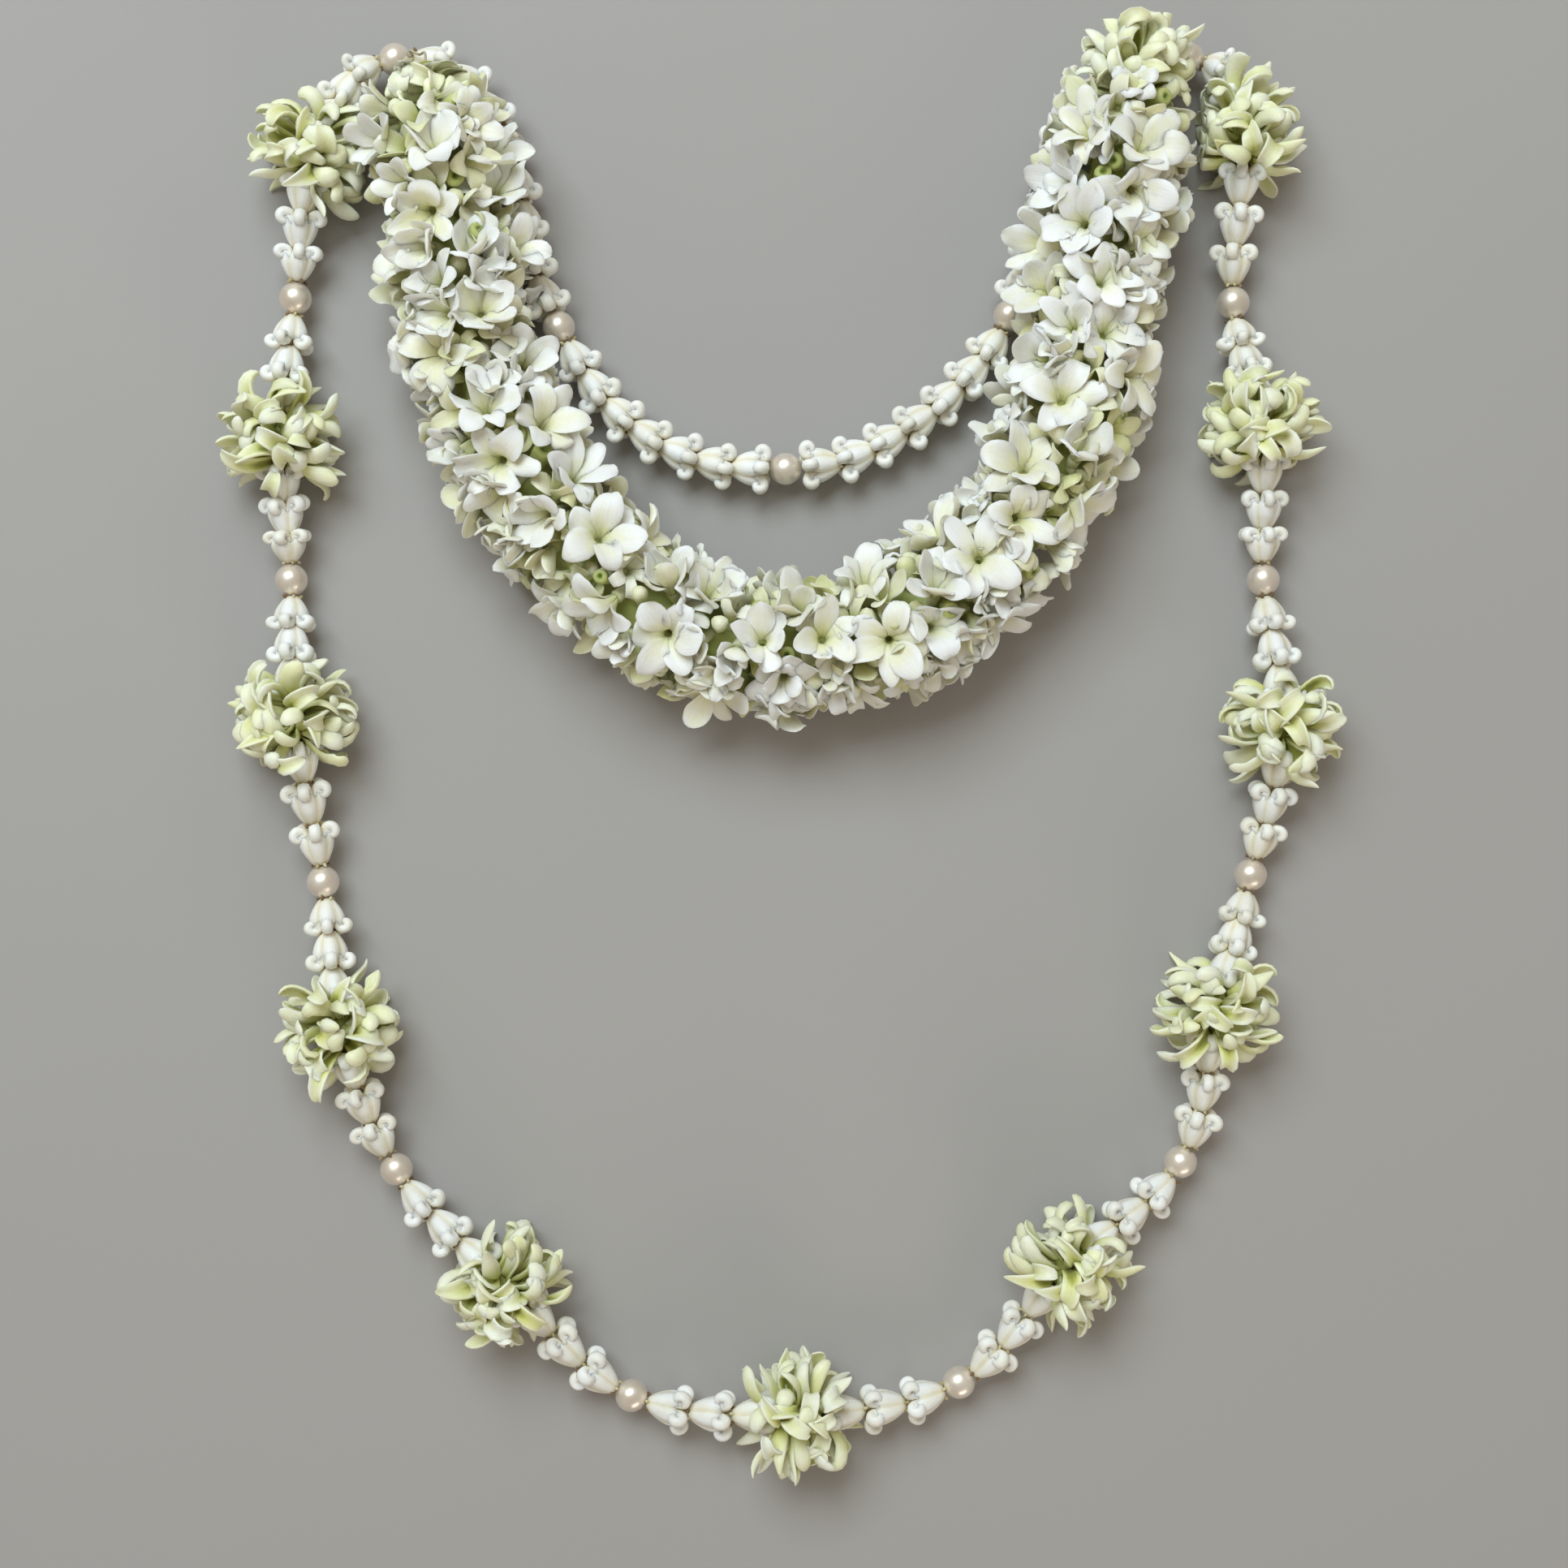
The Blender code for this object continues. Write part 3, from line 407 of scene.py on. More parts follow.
def make_piece(slot, pile, *nodes):
    """One mesh from a pile, in the object's frame, that rides on its one body and stands for
    the given nodes."""
    name = f"{nodes[0]}_{PIECE_WORDS[slot]}"
    points = (fit(np.concatenate(pile.points)) - SHIFT) * MM
    mesh = bpy.data.meshes.new(name)
    mesh.from_pydata(points.tolist(), [], pile.faces)
    mesh.polygons.foreach_set("use_smooth", np.ones(len(mesh.polygons), bool))
    tone = mesh.attributes.new("tone", "FLOAT_COLOR", "POINT")
    tone.data.foreach_set("color", np.concatenate(pile.tones).ravel().astype(np.float32))
    grain = mesh.attributes.new("grain", "FLOAT_VECTOR", "POINT")
    grain.data.foreach_set("vector", np.concatenate(pile.grains).ravel().astype(np.float32))
    mesh.materials.append(LOOKS[slot])
    if pile.rims:
        on_rim = np.zeros(len(points), bool)
        on_rim[np.concatenate(pile.rims)] = True
        ends = np.empty(2 * len(mesh.edges), np.int32)
        mesh.edges.foreach_get("vertices", ends)
        sharp = mesh.attributes.new("sharp_edge", "BOOLEAN", "EDGE")
        sharp.data.foreach_set("value", on_rim[ends.reshape(-1, 2)].all(axis=1))
    mesh.update()
    piece = bpy.data.objects.new(name, mesh)
    bpy.context.scene.collection.objects.link(piece)
    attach(piece, "root")
    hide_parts(*nodes)


# ---------------------------------------------------------------- petals


@functools.lru_cache(None)
def blade_faces(rows, cols):
    """Faces of a blade: an upper grid and a lower one that share their rim."""
    upper = np.arange((rows + 1) * (cols + 1)).reshape(rows + 1, cols + 1)
    lower = upper.copy()
    inside = (rows - 1) * (cols - 1)
    lower[1:-1, 1:-1] = upper.size + np.arange(inside).reshape(rows - 1, cols - 1)
    faces = []
    for grid, flip in ((upper, 1), (lower, -1)):
        quads = np.stack([grid[:-1, :-1], grid[1:, :-1], grid[1:, 1:], grid[:-1, 1:]], -1)
        faces.append(quads.reshape(-1, 4)[:, ::flip])
    return [np.concatenate(faces)]


def blade(rows, cols, start, length, bend, half, roll, edge, thick, twist, sway, ruffle, furrow,
          tip_power=1.35):
    """A petal in its own frame: x out along it, y across it, z out of its upper face.
    The bend, half width, roll, edge curl and thickness are (place along, value) pairs.
    Gives back its points, its place along, its place across and which face each point is on."""
    u = 1 - (1 - np.linspace(0, 1, rows + 1)) ** tip_power
    v = np.sin(np.linspace(-np.pi / 2, np.pi / 2, cols + 1))
    bend, half, roll, edge, thick = (np.interp(u, *zip(*pairs))
                                     for pairs in (bend, half, roll, edge, thick))
    step = np.diff(u, prepend=0.0) * length
    halfway = (bend + np.concatenate([bend[:1], bend[:-1]])) / 2
    spine = np.stack([start + np.cumsum(np.cos(halfway) * step), sway * length * u ** 2,
                      np.cumsum(np.sin(halfway) * step)], -1)
    normal = np.stack([-np.sin(bend), np.zeros_like(u), np.cos(bend)], -1)
    turn = (twist * u)[:, None]
    across = np.array((0.0, 1.0, 0.0))
    y_way = np.cos(turn) * across + np.sin(turn) * normal
    n_way = np.cos(turn) * normal - np.sin(turn) * across
    angle = roll[:, None] * v + edge[:, None] * np.sign(v) * np.abs(v) ** 3
    middle = (angle[:, 1:] + angle[:, :-1]) / 2
    y, n = (np.cumsum(np.pad(part(middle) * np.diff(v), ((0, 0), (1, 0))), 1)
            for part in (np.cos, np.sin))
    y = (y - y[:, cols // 2, None]) * half[:, None]
    n = (n - n[:, cols // 2, None]) * half[:, None]
    size, waves, phase = ruffle
    waved = size * np.sin(2 * np.pi * waves * u + phase) * half / half.max()
    n = n + waved[:, None] * v * np.abs(v)
    n = n - furrow * np.exp(-(v / 0.3) ** 2) * (np.sin(np.pi * np.clip(u * 1.1, 0, 1)))[:, None]
    sheet = spine[:, None] + y[..., None] * y_way[:, None] + n[..., None] * n_way[:, None]
    out = np.cross(np.gradient(sheet, axis=0), np.gradient(sheet, axis=1))
    out /= np.maximum(np.linalg.norm(out, axis=-1, keepdims=True), 1e-9)
    body = thick[:, None] * np.sqrt(np.maximum(1 - v ** 2, 0)) * np.sqrt(1 - u ** 8)[:, None] / 2
    body[0] = 0
    upper, lower = sheet + body[..., None] * out, sheet - body[..., None] * out
    along, aside = np.meshgrid(u, v, indexing="ij")
    face = np.ones_like(along)
    face[[0, -1]] = 0
    face[:, [0, -1]] = 0
    points, along, aside, face = (
        np.concatenate([over.reshape(-1, *over.shape[2:]),
                        under[1:-1, 1:-1].reshape(-1, *under.shape[2:])])
        for over, under in ((upper, lower), (along, along), (aside, aside), (face, -face)))
    return points, along, aside, face


def widths(foot, shares, wide):
    """The half widths of a blade: plain ones at its foot, then shares of its widest."""
    return foot + [(place, share * wide) for place, share in shares]


# ---------------------------------------------------------------- crown flowers

CROWN_LENGTH = 13.0
NESTED_LENGTH = 12.4
NEST_LIMITS = (0.4, 3.0)
# The ribbed cup of a crown: place along it, radius, and how deep its grooves are
CROWN_CUP = [
    (0.25, 0.0, 0.0), (0.3, 1.9, 0.06), (0.8, 2.45, 0.08), (2.0, 3.3, 0.1), (3.6, 4.25, 0.12),
    (5.2, 5.0, 0.14), (6.8, 5.5, 0.17), (8.2, 5.65, 0.22), (9.3, 5.5, 0.3), (10.1, 4.9, 0.42),
    (10.4, 4.0, 0.4), (10.2, 0.0, 0.0),
]
CUP_SIDES = 30
# A lobe before its scroll: place along, radius, and half its depth and its width
LOBE_BODY = [
    (6.6, 3.00, 1.10, 1.60), (8.0, 3.40, 1.60, 2.20), (9.2, 3.65, 1.85, 2.50),
    (10.0, 3.70, 1.75, 2.30),
]
LOBE_SHAPES = 8
LOBE_SIDES = 8
LOBE_SCROLL_STEPS = 16
KEEL = 0.25
SCROLL_RADIUS = 1.9
SCROLL_CENTRE = (10.25, 5.3)
SCROLL_START = math.radians(-70)
SCROLL_SWINGS = (285, 340)
# The rounded end of a scroll: size and place ahead, as shares of its last ring's depth
SCROLL_END = [(0.72, 0.30), (0.25, 0.42)]
STUB_SIDES = 5
STUB_BROWNS = (0.8, 1.0, 1.25, 1.25)


def lobe_shape(draw):
    """One lobe of a crown flower in its own plane: points of (place along, radius, aside)."""
    centre = np.array(SCROLL_CENTRE) + (draw.uniform(-0.25, 0.2), draw.uniform(-0.2, 0.15))
    stations = [(np.array((s, r)), d, w) for s, r, d, w in LOBE_BODY]
    swing = math.radians(draw.uniform(*SCROLL_SWINGS))
    radius = SCROLL_RADIUS * draw.uniform(0.93, 1.06)
    for share in np.arange(LOBE_SCROLL_STEPS) / (LOBE_SCROLL_STEPS - 1):
        angle = SCROLL_START + swing * share
        reach = radius * (1 - 0.66 * share ** 1.2)
        spot = centre + reach * np.array((math.cos(angle), math.sin(angle)))
        stations.append((spot, 1.62 - 0.36 * share, 2.15 - 0.5 * share ** 0.5))
    ways = np.gradient(np.array([spot for spot, _, _ in stations]), axis=0)
    ways /= np.linalg.norm(ways, axis=1, keepdims=True)
    spin = spins(LOBE_SIDES)
    bulge = np.sign(np.cos(spin)) * np.abs(np.cos(spin)) ** 0.9
    rings = []
    for (spot, depth, wide), way in zip(stations, ways):
        over = np.array((-way[1], way[0]))
        flat = spot + depth * bulge[:, None] * over
        rings.append(np.column_stack([flat, wide * (1 - KEEL * np.cos(spin)) * np.sin(spin)]))
    for size, ahead in SCROLL_END:
        flat = spot + ahead * depth * way + size * depth * np.cos(spin)[:, None] * over
        rings.append(np.column_stack([flat, size * wide * np.sin(spin)]))
    return np.concatenate(rings)


LOBES = [lobe_shape(random.Random(f"lobe {k}")) for k in range(LOBE_SHAPES)]
LOBE_FACES = ring_faces(len(LOBES[0]) // LOBE_SIDES, LOBE_SIDES)


def cup(pile, place, stretch, turn, cream, mark, draw):
    """The cup of a crown flower: five flat lobes side by side, each with a ridge along it."""
    spin = spins(CUP_SIDES)
    across = RIBS * (spin + draw.uniform(-0.05, 0.05)) / (2 * np.pi)
    off = 2 * np.abs(across - np.round(across))
    heights, lobes, grooves = np.array(CROWN_CUP).T
    radii = [radius * (1 - groove * smooth(0.62, 1.0, off) - 0.05 * smooth(0.1, 0.4, off))
             for radius, groove in zip(lobes, grooves)]
    # Painted warm shade: cream and a little green in the grooves, cream towards the narrow end.
    # The ribs' middles are painted a little whiter as highlight; the green at the tip is its own.
    creamy = cream + 0.9 * smooth(0.55, 1.0, off) - 0.15 * smooth(0.3, 0.0, off)
    tone = np.array([
        tones(CUP_SIDES, 0.45 * smooth(1.8, 0.3, height) + 0.1 * smooth(0.8, 1.0, off),
              np.clip(creamy + 0.5 * smooth(5.0, 0.5, height), 0, 1.2), mark)
        for height in heights])
    points = revolve(heights * stretch, radii, spin + turn)
    grain = points.copy()
    grain[..., 0], grain[..., 1], grain[..., 2] = points[..., 2], RIBS * off, 10 * mark
    quads, *fans = fan_faces(len(heights) - 2, CUP_SIDES)
    pile.put(placed(with_ends(points), *place), [quads[:, [0, 3, 2, 1]], *flipped(fans)],
             with_ends(tone), with_ends(grain))


def crown(pile, narrow, wide, turn, nest, draw):
    """One crown flower: a cup, five lobes that end in scrolls, and a frill of stubs at the
    narrow end."""
    along = unit(wide - narrow)
    length = np.linalg.norm(wide - narrow) + nest
    origin = wide - length * along
    side, up = frame_across(along)
    stretch = length / CROWN_LENGTH
    mark = draw.random()
    cream = draw.uniform(0.0, 0.35)
    for k in range(RIBS):
        flat = draw.choice(LOBES)
        out = around(turn + 2 * math.pi * k / RIBS + draw.uniform(-0.07, 0.07), side, up)
        swell = draw.uniform(0.95, 1.04)
        lean = draw.uniform(-0.05, 0.05)
        slim = draw.uniform(0.82, 1.05)
        grown = np.column_stack([flat[:, 0] * stretch, flat[:, 1] * swell,
                                 slim * flat[:, 2] + lean * (flat[:, 0] - 8)])
        # The lobes' parts nearest the flower's axis, down in the creases, are painted cream and
        # a little green as warm shade.
        depth = np.clip((4.4 - flat[:, 1]) / 1.6, 0, 1)
        tone = tones(len(flat), 0.12 * depth, np.clip(cream + 0.9 * depth, 0, 1.2), mark)
        grain = np.column_stack([flat[:, 0], flat[:, 2], np.full(len(flat), 10 * mark + k)])
        pile.put(placed(grown, origin, along, out, np.cross(along, out)), LOBE_FACES, tone, grain)
    cup(pile, (origin, side, up, along), stretch, turn, cream, mark, draw)
    for k in range(RIBS):
        out = around(turn + 2 * math.pi * (k + 0.5) / RIBS + draw.uniform(-0.2, 0.2), side, up)
        tip = unit(0.8 * out - 0.6 * along + draw.uniform(-0.3, 0.3) * np.cross(along, out))
        root = origin + 0.9 * along + 1.6 * out
        long = draw.uniform(1.3, 2.1)
        add_lathe(pile, [0.0, 0.1, 0.6 * long, long, long + 0.05], [0.0, 0.66, 0.56, 0.3, 0.0],
                  STUB_SIDES, (root, *frame_across(tip), tip), draw.choice(STUB_BROWNS), 1.0,
                  mark)


# ---------------------------------------------------------------- pearls

PEARL_RINGS = 18
PEARL_SIDES = 28


def pearl(pile, bead):
    """A round bead, bored along its stretch of thread."""
    start, end = bead["line"]
    along = unit(end - start)
    centre = (start + end) / 2 + (bead["gaps"][0] - bead["gaps"][1]) / 4 * along
    lean = math.asin(CHANNEL_RADIUS / PEARL_RADIUS)
    polar = np.linspace(lean, math.pi - lean, PEARL_RINGS)
    points = revolve(-PEARL_RADIUS * np.cos(polar), PEARL_RADIUS * np.sin(polar),
                     spins(PEARL_SIDES)).reshape(-1, 3)
    mark = random.Random(bead["name"]).random()
    pile.put(placed(points, centre, *frame_across(along), along),
             ring_faces(PEARL_RINGS, PEARL_SIDES, closed=True),
             tones(len(points), 0.0, mark, mark), points)


# ---------------------------------------------------------------- pompons

POMPON_PETAL_ROWS = 11
PETALS_A_ROW = 6
PETAL_SPREAD = math.radians(27)
SKIRT_SPREAD = math.radians(20)
SKIRT_FROM = 0.75
POMPON_BLADE = (10, 6)
POMPON_FOOT = 2.0
POMPON_TIP_POWER = 1.6
POMPON_THICKNESS = [(0, 1.7), (0.5, 1.5), (0.85, 1.5), (1, 1.3)]
POINTED_WIDTHS = [(0.25, 0.72), (0.48, 1), (0.68, 0.84), (0.85, 0.5), (0.95, 0.24), (1, 0.06)]
HOODED_WIDTHS = [(0.25, 0.72), (0.5, 0.93), (0.7, 1), (0.82, 0.95), (0.91, 0.76), (0.97, 0.47),
                 (1, 0.1)]
HOOD_CLOSINGS = (0.5, 0.8, 1.1, 1.35)
# How far a petal that passes a limit is pushed back, as a share
LIMIT_PUSH = 0.93
POMPON_CORE = ([-6.6, -6.5, -3.0, 3.0, 6.5, 6.6], [0.0, 2.4, 3.6, 3.6, 2.4, 0.0], 10)


def pompon_petal(draw, share, facing_up):
    """The shape of one pompon petal: mostly thick hooded tongues, some pointed near the ends.
    Those that face up fold over, and some of them curl back."""
    wide = draw.uniform(2.8, 4.0)
    length = draw.uniform(16.5, 20.6)
    if draw.random() < (0.3 if abs(share) > 0.7 else 0.07):
        half = widths([(0, 1.5)], POINTED_WIDTHS, wide)
        roll = [(0, 0.8), (0.5, draw.uniform(0.5, 0.9)), (1, 1.1)]
        edge = [(0, 0.3), (0.6, draw.uniform(-0.9, 0.6)), (1, draw.uniform(-0.5, 0.6))]
        hook = draw.uniform(-1.3, -0.1)
    else:
        half = widths([(0, 1.6)], HOODED_WIDTHS, wide)
        closing = draw.choice(HOOD_CLOSINGS)
        roll = [(0, 0.8), (0.5, draw.uniform(0.4, 0.9)), (0.85, closing), (1, closing)]
        edge = [(0, 0.3), (0.5, draw.uniform(-0.4, 1.2)), (0.85, draw.uniform(-0.3, 1.3)),
                (1, 0.2)]
        hook = draw.uniform(0.5, 2.1)
    hook += facing_up * draw.uniform(0.0, 1.0)
    curl = draw.uniform(0.1, 0.8) + facing_up * draw.uniform(0.3, 0.9)
    length += 1.5 * facing_up
    back = -1 if draw.random() < 0.6 * facing_up else 1
    bend = [(0, -0.5 * back * curl), (0.35, -0.3 * back * curl), (0.6, 0.4 * back * curl),
            (0.82, back * (curl + 0.3 * hook)), (1, back * (curl + hook))]
    return wide, length, (bend, half, roll, edge, POMPON_THICKNESS)


def pompon(pile, name, line, lean, limits, paler=0.0, reach=1.0):
    """A stack of rows of thick rolled petals round the thread."""
    start, end = line
    along = unit(end - start)
    side, up = frame_across(along)
    middle = (start + end) / 2
    draw = random.Random(name)
    mark = draw.random()
    turn = draw.uniform(0, 2 * math.pi)
    for row in range(POMPON_PETAL_ROWS):
        share = (row + 0.5) / POMPON_PETAL_ROWS * 2 - 1
        turn += math.pi / PETALS_A_ROW + draw.uniform(-0.25, 0.25)
        for k in range(PETALS_A_ROW):
            angle = turn + 2 * math.pi * k / PETALS_A_ROW + draw.uniform(-0.25, 0.25)
            tilt = math.radians(lean) + PETAL_SPREAD * share + draw.uniform(-0.2, 0.2)
            if abs(share) > SKIRT_FROM:
                tilt += math.copysign(draw.uniform(-0.1, 1.0) * SKIRT_SPREAD, share)
            radial = around(angle, side, up)
            way = around(tilt, radial, along)
            upper = 1 if (draw.random() < 0.72) == (share <= 0) else -1
            over = upper * around(tilt, along, -radial)
            facing_up = smooth(0.45, 0.9, radial[2])
            askew = draw.uniform(-1.2, 1.2) * (1 - 0.75 * share ** 2)
            over = turned(over, way, askew + facing_up * draw.choice((-1, 1))
                          * draw.uniform(0.5, 1.3))
            wide, length, shape = pompon_petal(draw, share, facing_up)
            points, u, v, face = blade(
                *POMPON_BLADE, POMPON_FOOT, reach * length, *shape,
                twist=draw.uniform(-0.9, 0.9), sway=draw.uniform(-0.16, 0.16),
                ruffle=(draw.uniform(0.1, 0.9), draw.uniform(0.7, 1.6), draw.uniform(0, 6)),
                furrow=draw.uniform(0.1, 0.6), tip_power=POMPON_TIP_POWER)
            origin = middle + POMPON_ROWS_HALF * share * along
            world = placed(points, origin, way, np.cross(over, way), over)
            low = np.maximum(FLOOR_SPLAY - world[:, 2:], 0.0)
            world[:, :2] += 0.5 * low * unit(radial[:2] + 1e-6)
            for limit, direction in limits:
                past = np.maximum((world - limit) @ direction, 0.0)
                world -= LIMIT_PUSH * past[:, None] * direction
            # Greener towards the foot and deep green at it: partly own colour, partly painted shade
            # deep in the pompon. Upper faces' middles are painted greener as shade in the folds;
            # the
            # edges are whiter, partly their own pale rims and partly painted highlight.
            green = (0.95 * smooth(0.8, 0.2, u) - 0.45 * np.abs(v) ** 3
                     + 0.7 * (face > 0) * (1 - v ** 2) * smooth(1.1, 0.5, u)
                     + draw.uniform(-0.3, 0.25) - paler)
            green = np.maximum(green, 1.2 * smooth(0.25, 0.05, u))
            tone = tones(len(points), np.clip(green, 0, 1.3), draw.uniform(0.1, 0.6),
                         draw.random())
            grain = np.column_stack([u * length, v * wide,
                                     np.full(len(u), 7.0 * row + k + mark)])
            pile.add(world, blade_faces(*POMPON_BLADE), tone, grain)
    add_lathe(pile, *POMPON_CORE, (middle, side, up, along), 1.25, 0.4, mark)


# ---------------------------------------------------------------- the rope of florets

FLORET_BLADE = (10, 6)
FILLER_BLADE = (9, 6)
TUFT_BLADE = (8, 6)
# Half widths of a floret's petal as shares of its widest, and what bluntness adds to them
FLORET_WIDTHS = [
    (0.38, 0.68, 0), (0.5, 0.91, 0), (0.62, 1, 0), (0.74, 0.88, 0.08), (0.85, 0.64, 0.18),
    (0.93, 0.4, 0.22), (0.98, 0.2, 0.17), (1, 0.08, 0.1),
]
FLORET_THICKNESS = [(0, 0.5), (0.4, 1.0), (0.8, 1.25), (1, 1.2)]
FLORET_LENGTH = 16.3
OUTER_WIDTH, INNER_WIDER = 3.85, 0.5
FLORET_TUBE = ([-7.2, -7.1, -3.0, 0.6, 1.3, 0.9, -3.5, -3.6],
               [0.0, 1.5, 1.75, 2.15, 1.75, 1.25, 0.8, 0.0], 10)
TUFT_WIDTHS = [(0.45, 0.85), (0.62, 1), (0.78, 0.86), (0.9, 0.55), (1, 0.14)]
TUFT_TUBE = ([-7.0, -6.9, -3.0, 0.3, 1.6, 1.7], [0.0, 1.6, 1.9, 2.2, 1.2, 0.0], 8)
BUD_SHAPE = np.array([(0, 0), (0.1, 1.3), (2.5, 1.7), (5.0, 2.3), (7.0, 2.7), (8.4, 2.35),
                      (9.2, 1.5), (9.5, 0.5), (9.55, 0)])
BUD_SIDES = 14
CUT_TUBE_HEIGHTS = [0.0, 0.1, 5.0, 6.6, 7.15, 7.3, 7.2, 6.2, 6.1]
CUT_TUBE_RADII = np.array([0.0, 2.7, 3.2, 3.2, 2.85, 1.7, 0.78, 0.55, 0.0])
CUT_TUBE_SIDES = 18
CORE_SIDES = 30
CORE_STEPS = 6
# Petals keep out of this room round the strand. It is looked for in steps, from a floret or
# a filler this near to it, and a margin further along.
STRAND_ROOM = 7.4
STRAND_STEP = 2.0
STRAND_NEAR_FLORET, STRAND_NEAR_FILLER, STRAND_MARGIN = 20, 14, 8


def floret_places(line):
    """Where each floret of the rope sits and how it faces, ring by ring."""
    places = []
    for i in range(ROPE_RINGS):
        centre = (line[i] + line[i + 1]) / 2
        along = unit(line[i + 1] - line[i])
        side, up = frame_across(along)
        for j in range(FLORETS_A_RING):
            draw = random.Random(f"floret {i} {j}")
            angle = -math.pi / 2 + 2 * math.pi * (j + 0.5 * (i % 2)) / FLORETS_A_RING
            out = around(angle, side, up)
            if -out[2] <= math.cos(FLORET_FOOT_ANGLE):
                out = out + FLORET_ALONG * draw.uniform(-1, 1) * along
                out = out + FLORET_ASIDE * draw.uniform(-1, 1) * np.cross(out, along)
            look = random.Random(f"bloom {i} {j}")
            level = look.uniform(-1, 1)
            out = unit(out)
            places.append({"ring": i, "centre": centre, "along": along, "out": out,
                           "draw": look, "level": level, "size": (0.94, 1.1), "double": 0.25,
                           "height": FLORET_NECK_HEIGHT + 1.1 * level, "lean": 0.42,
                           "open": (0, 62, 26), "middle": centre + FLORET_NOTCH_HEIGHT * out})
    return places


def seat_on(line, x, y, reach):
    """Where a point seen from above lies on the rope's round surface."""
    steps = 8
    close = np.array(finer(line, steps)[:-1])
    nearest = int(np.linalg.norm(close[:, :2] - (x, y), axis=1).argmin())
    centre = close[nearest]
    aside = math.hypot(x - centre[0], y - centre[1])
    spot = np.array((x, y, centre[2] + math.sqrt(max(reach ** 2 - aside ** 2, 1.0))))
    ring = nearest // steps
    return {"ring": ring, "centre": centre, "along": unit(line[ring + 1] - line[ring]),
            "out": unit(spot - centre), "spot": spot}


def bloom_places(line):
    """The blooms read from the photograph, in the same form as the rings' florets."""
    places = []
    for k, (x, y, facing, lean, stand, turn, size) in enumerate(BLOOMS):
        here = seat_on(line, x, y, THROAT_REACH)
        facing, lean = math.radians(facing), math.radians(lean)
        tipped = np.array((math.cos(facing) * math.sin(lean), math.sin(facing) * math.sin(lean),
                           math.cos(lean)))
        look = random.Random(f"seen {k}")
        here |= {"draw": look, "level": look.uniform(-0.6, 1.4), "size": (size, size),
                 "double": 0.0, "lean": 0.0, "height": 0.0, "turn": math.radians(turn),
                 "open": (stand - 5, stand + 5, stand), "tipped": tipped,
                 "root": here["spot"] - THROAT_RISE * tipped,
                 "middle": here["spot"] + THROAT_RISE * tipped}
        places.append(here)
    return places


def filler_places(line, places):
    """The gaps between the blooms, where buds, folded petals and cut tubes show."""
    draw = random.Random("gaps")
    reach = THROAT_REACH + THROAT_RISE
    taken = [(here["middle"], BLOOM_GAP) for here in places]
    taken += [(seat_on(line, x, y, reach)["spot"], FILLER_GAP) for x, y in CUT_TUBES + BUDS]
    spots = []
    for number in range(FILLER_TRIES):
        ring = draw.randrange(ROPE_RINGS)
        centre = line[ring] + draw.random() * (line[ring + 1] - line[ring])
        along = unit(line[ring + 1] - line[ring])
        side, up = frame_across(along)
        out = around(draw.uniform(-math.pi, math.pi), up, side)
        middle = centre + reach * out
        if out[2] < FILLER_LOWEST or any(np.linalg.norm(middle - spot) < gap
                                         for spot, gap in taken):
            continue
        taken.append((middle, FILLER_GAP))
        look = random.Random(f"filler {number}")
        spots.append({"ring": ring, "centre": centre, "out": out, "along": along, "draw": look,
                      "middle": middle, "level": FILLER_LEVEL, "size": (0.72, 0.92),
                      "double": 0.15, "lean": 0.6, "height": look.uniform(9.8, 11.6),
                      "open": (30, 80, 55)})
    return spots


def walls_of(here, places):
    """Planes between one floret and those round it, and whether it lies over each."""
    middle = here["middle"]
    share = 0.5 if here["level"] > FILLER_LEVEL else 0.62
    walls = []
    for other in places:
        across = other["middle"] - middle
        far = np.linalg.norm(across)
        if 0 < far < NEIGHBOUR_REACH:
            walls.append((middle + share * across, across / far, here["level"] > other["level"]))
    return walls


def tucked(world, here, walls):
    """Petal points that meet a neighbour stand up against it, or slip under it."""
    for origin, way, over in walls:
        past = np.maximum((world - origin) @ way, 0.0)[:, None]
        pull, lift = (0.42, 0.42) if over else (0.72, 0.10)
        world = world - pull * past * way + lift * past * here["out"]
    return world


def clear_of(world, line, radius):
    """Points pushed out of a round channel along a line, in their own order."""
    gaps = world[:, None] - line[None]
    far = np.linalg.norm(gaps, axis=-1)
    near = far.argmin(1)
    rows = np.arange(len(world))
    least = far[rows, near]
    ways = gaps[rows, near] / np.maximum(least, 1e-6)[:, None]
    kept = np.where(least < radius, 0.78 * radius + 0.22 * least, least)
    return line[near] + ways * kept[:, None]


def strand_near(strand, here, reach):
    """The part of the strand beside a floret, or None where it runs elsewhere."""
    far = np.linalg.norm(strand - here["middle"], axis=1)
    return strand[far < reach + STRAND_MARGIN] if far.min() < reach else None


def tipped_by(here, lean):
    """A floret's own direction, drawn within a lean from straight out of the rope."""
    draw, out, along = here["draw"], here["out"], here["along"]
    return unit(out + draw.uniform(-lean, lean) * along
                + draw.uniform(-lean, lean) * np.cross(out, along))


def set_petal(pile, grid, made, place, here, crowding, tone, size):
    """Put a floret's petal in its place, bent by what is round it. The tone is how green,
    how creamy and which body, and the size its length, half width and number."""
    walls, strand = crowding
    points, u, v, face = made
    world = tucked(placed(points, *place), here, walls)
    if strand is not None:
        world = clear_of(world, strand, STRAND_ROOM)
    length, wide, number = size
    grain = np.column_stack([u * length, v * wide, np.full(len(u), number)])
    pile.add(world, blade_faces(*grid), tones(len(points), *tone), grain, face == 0)


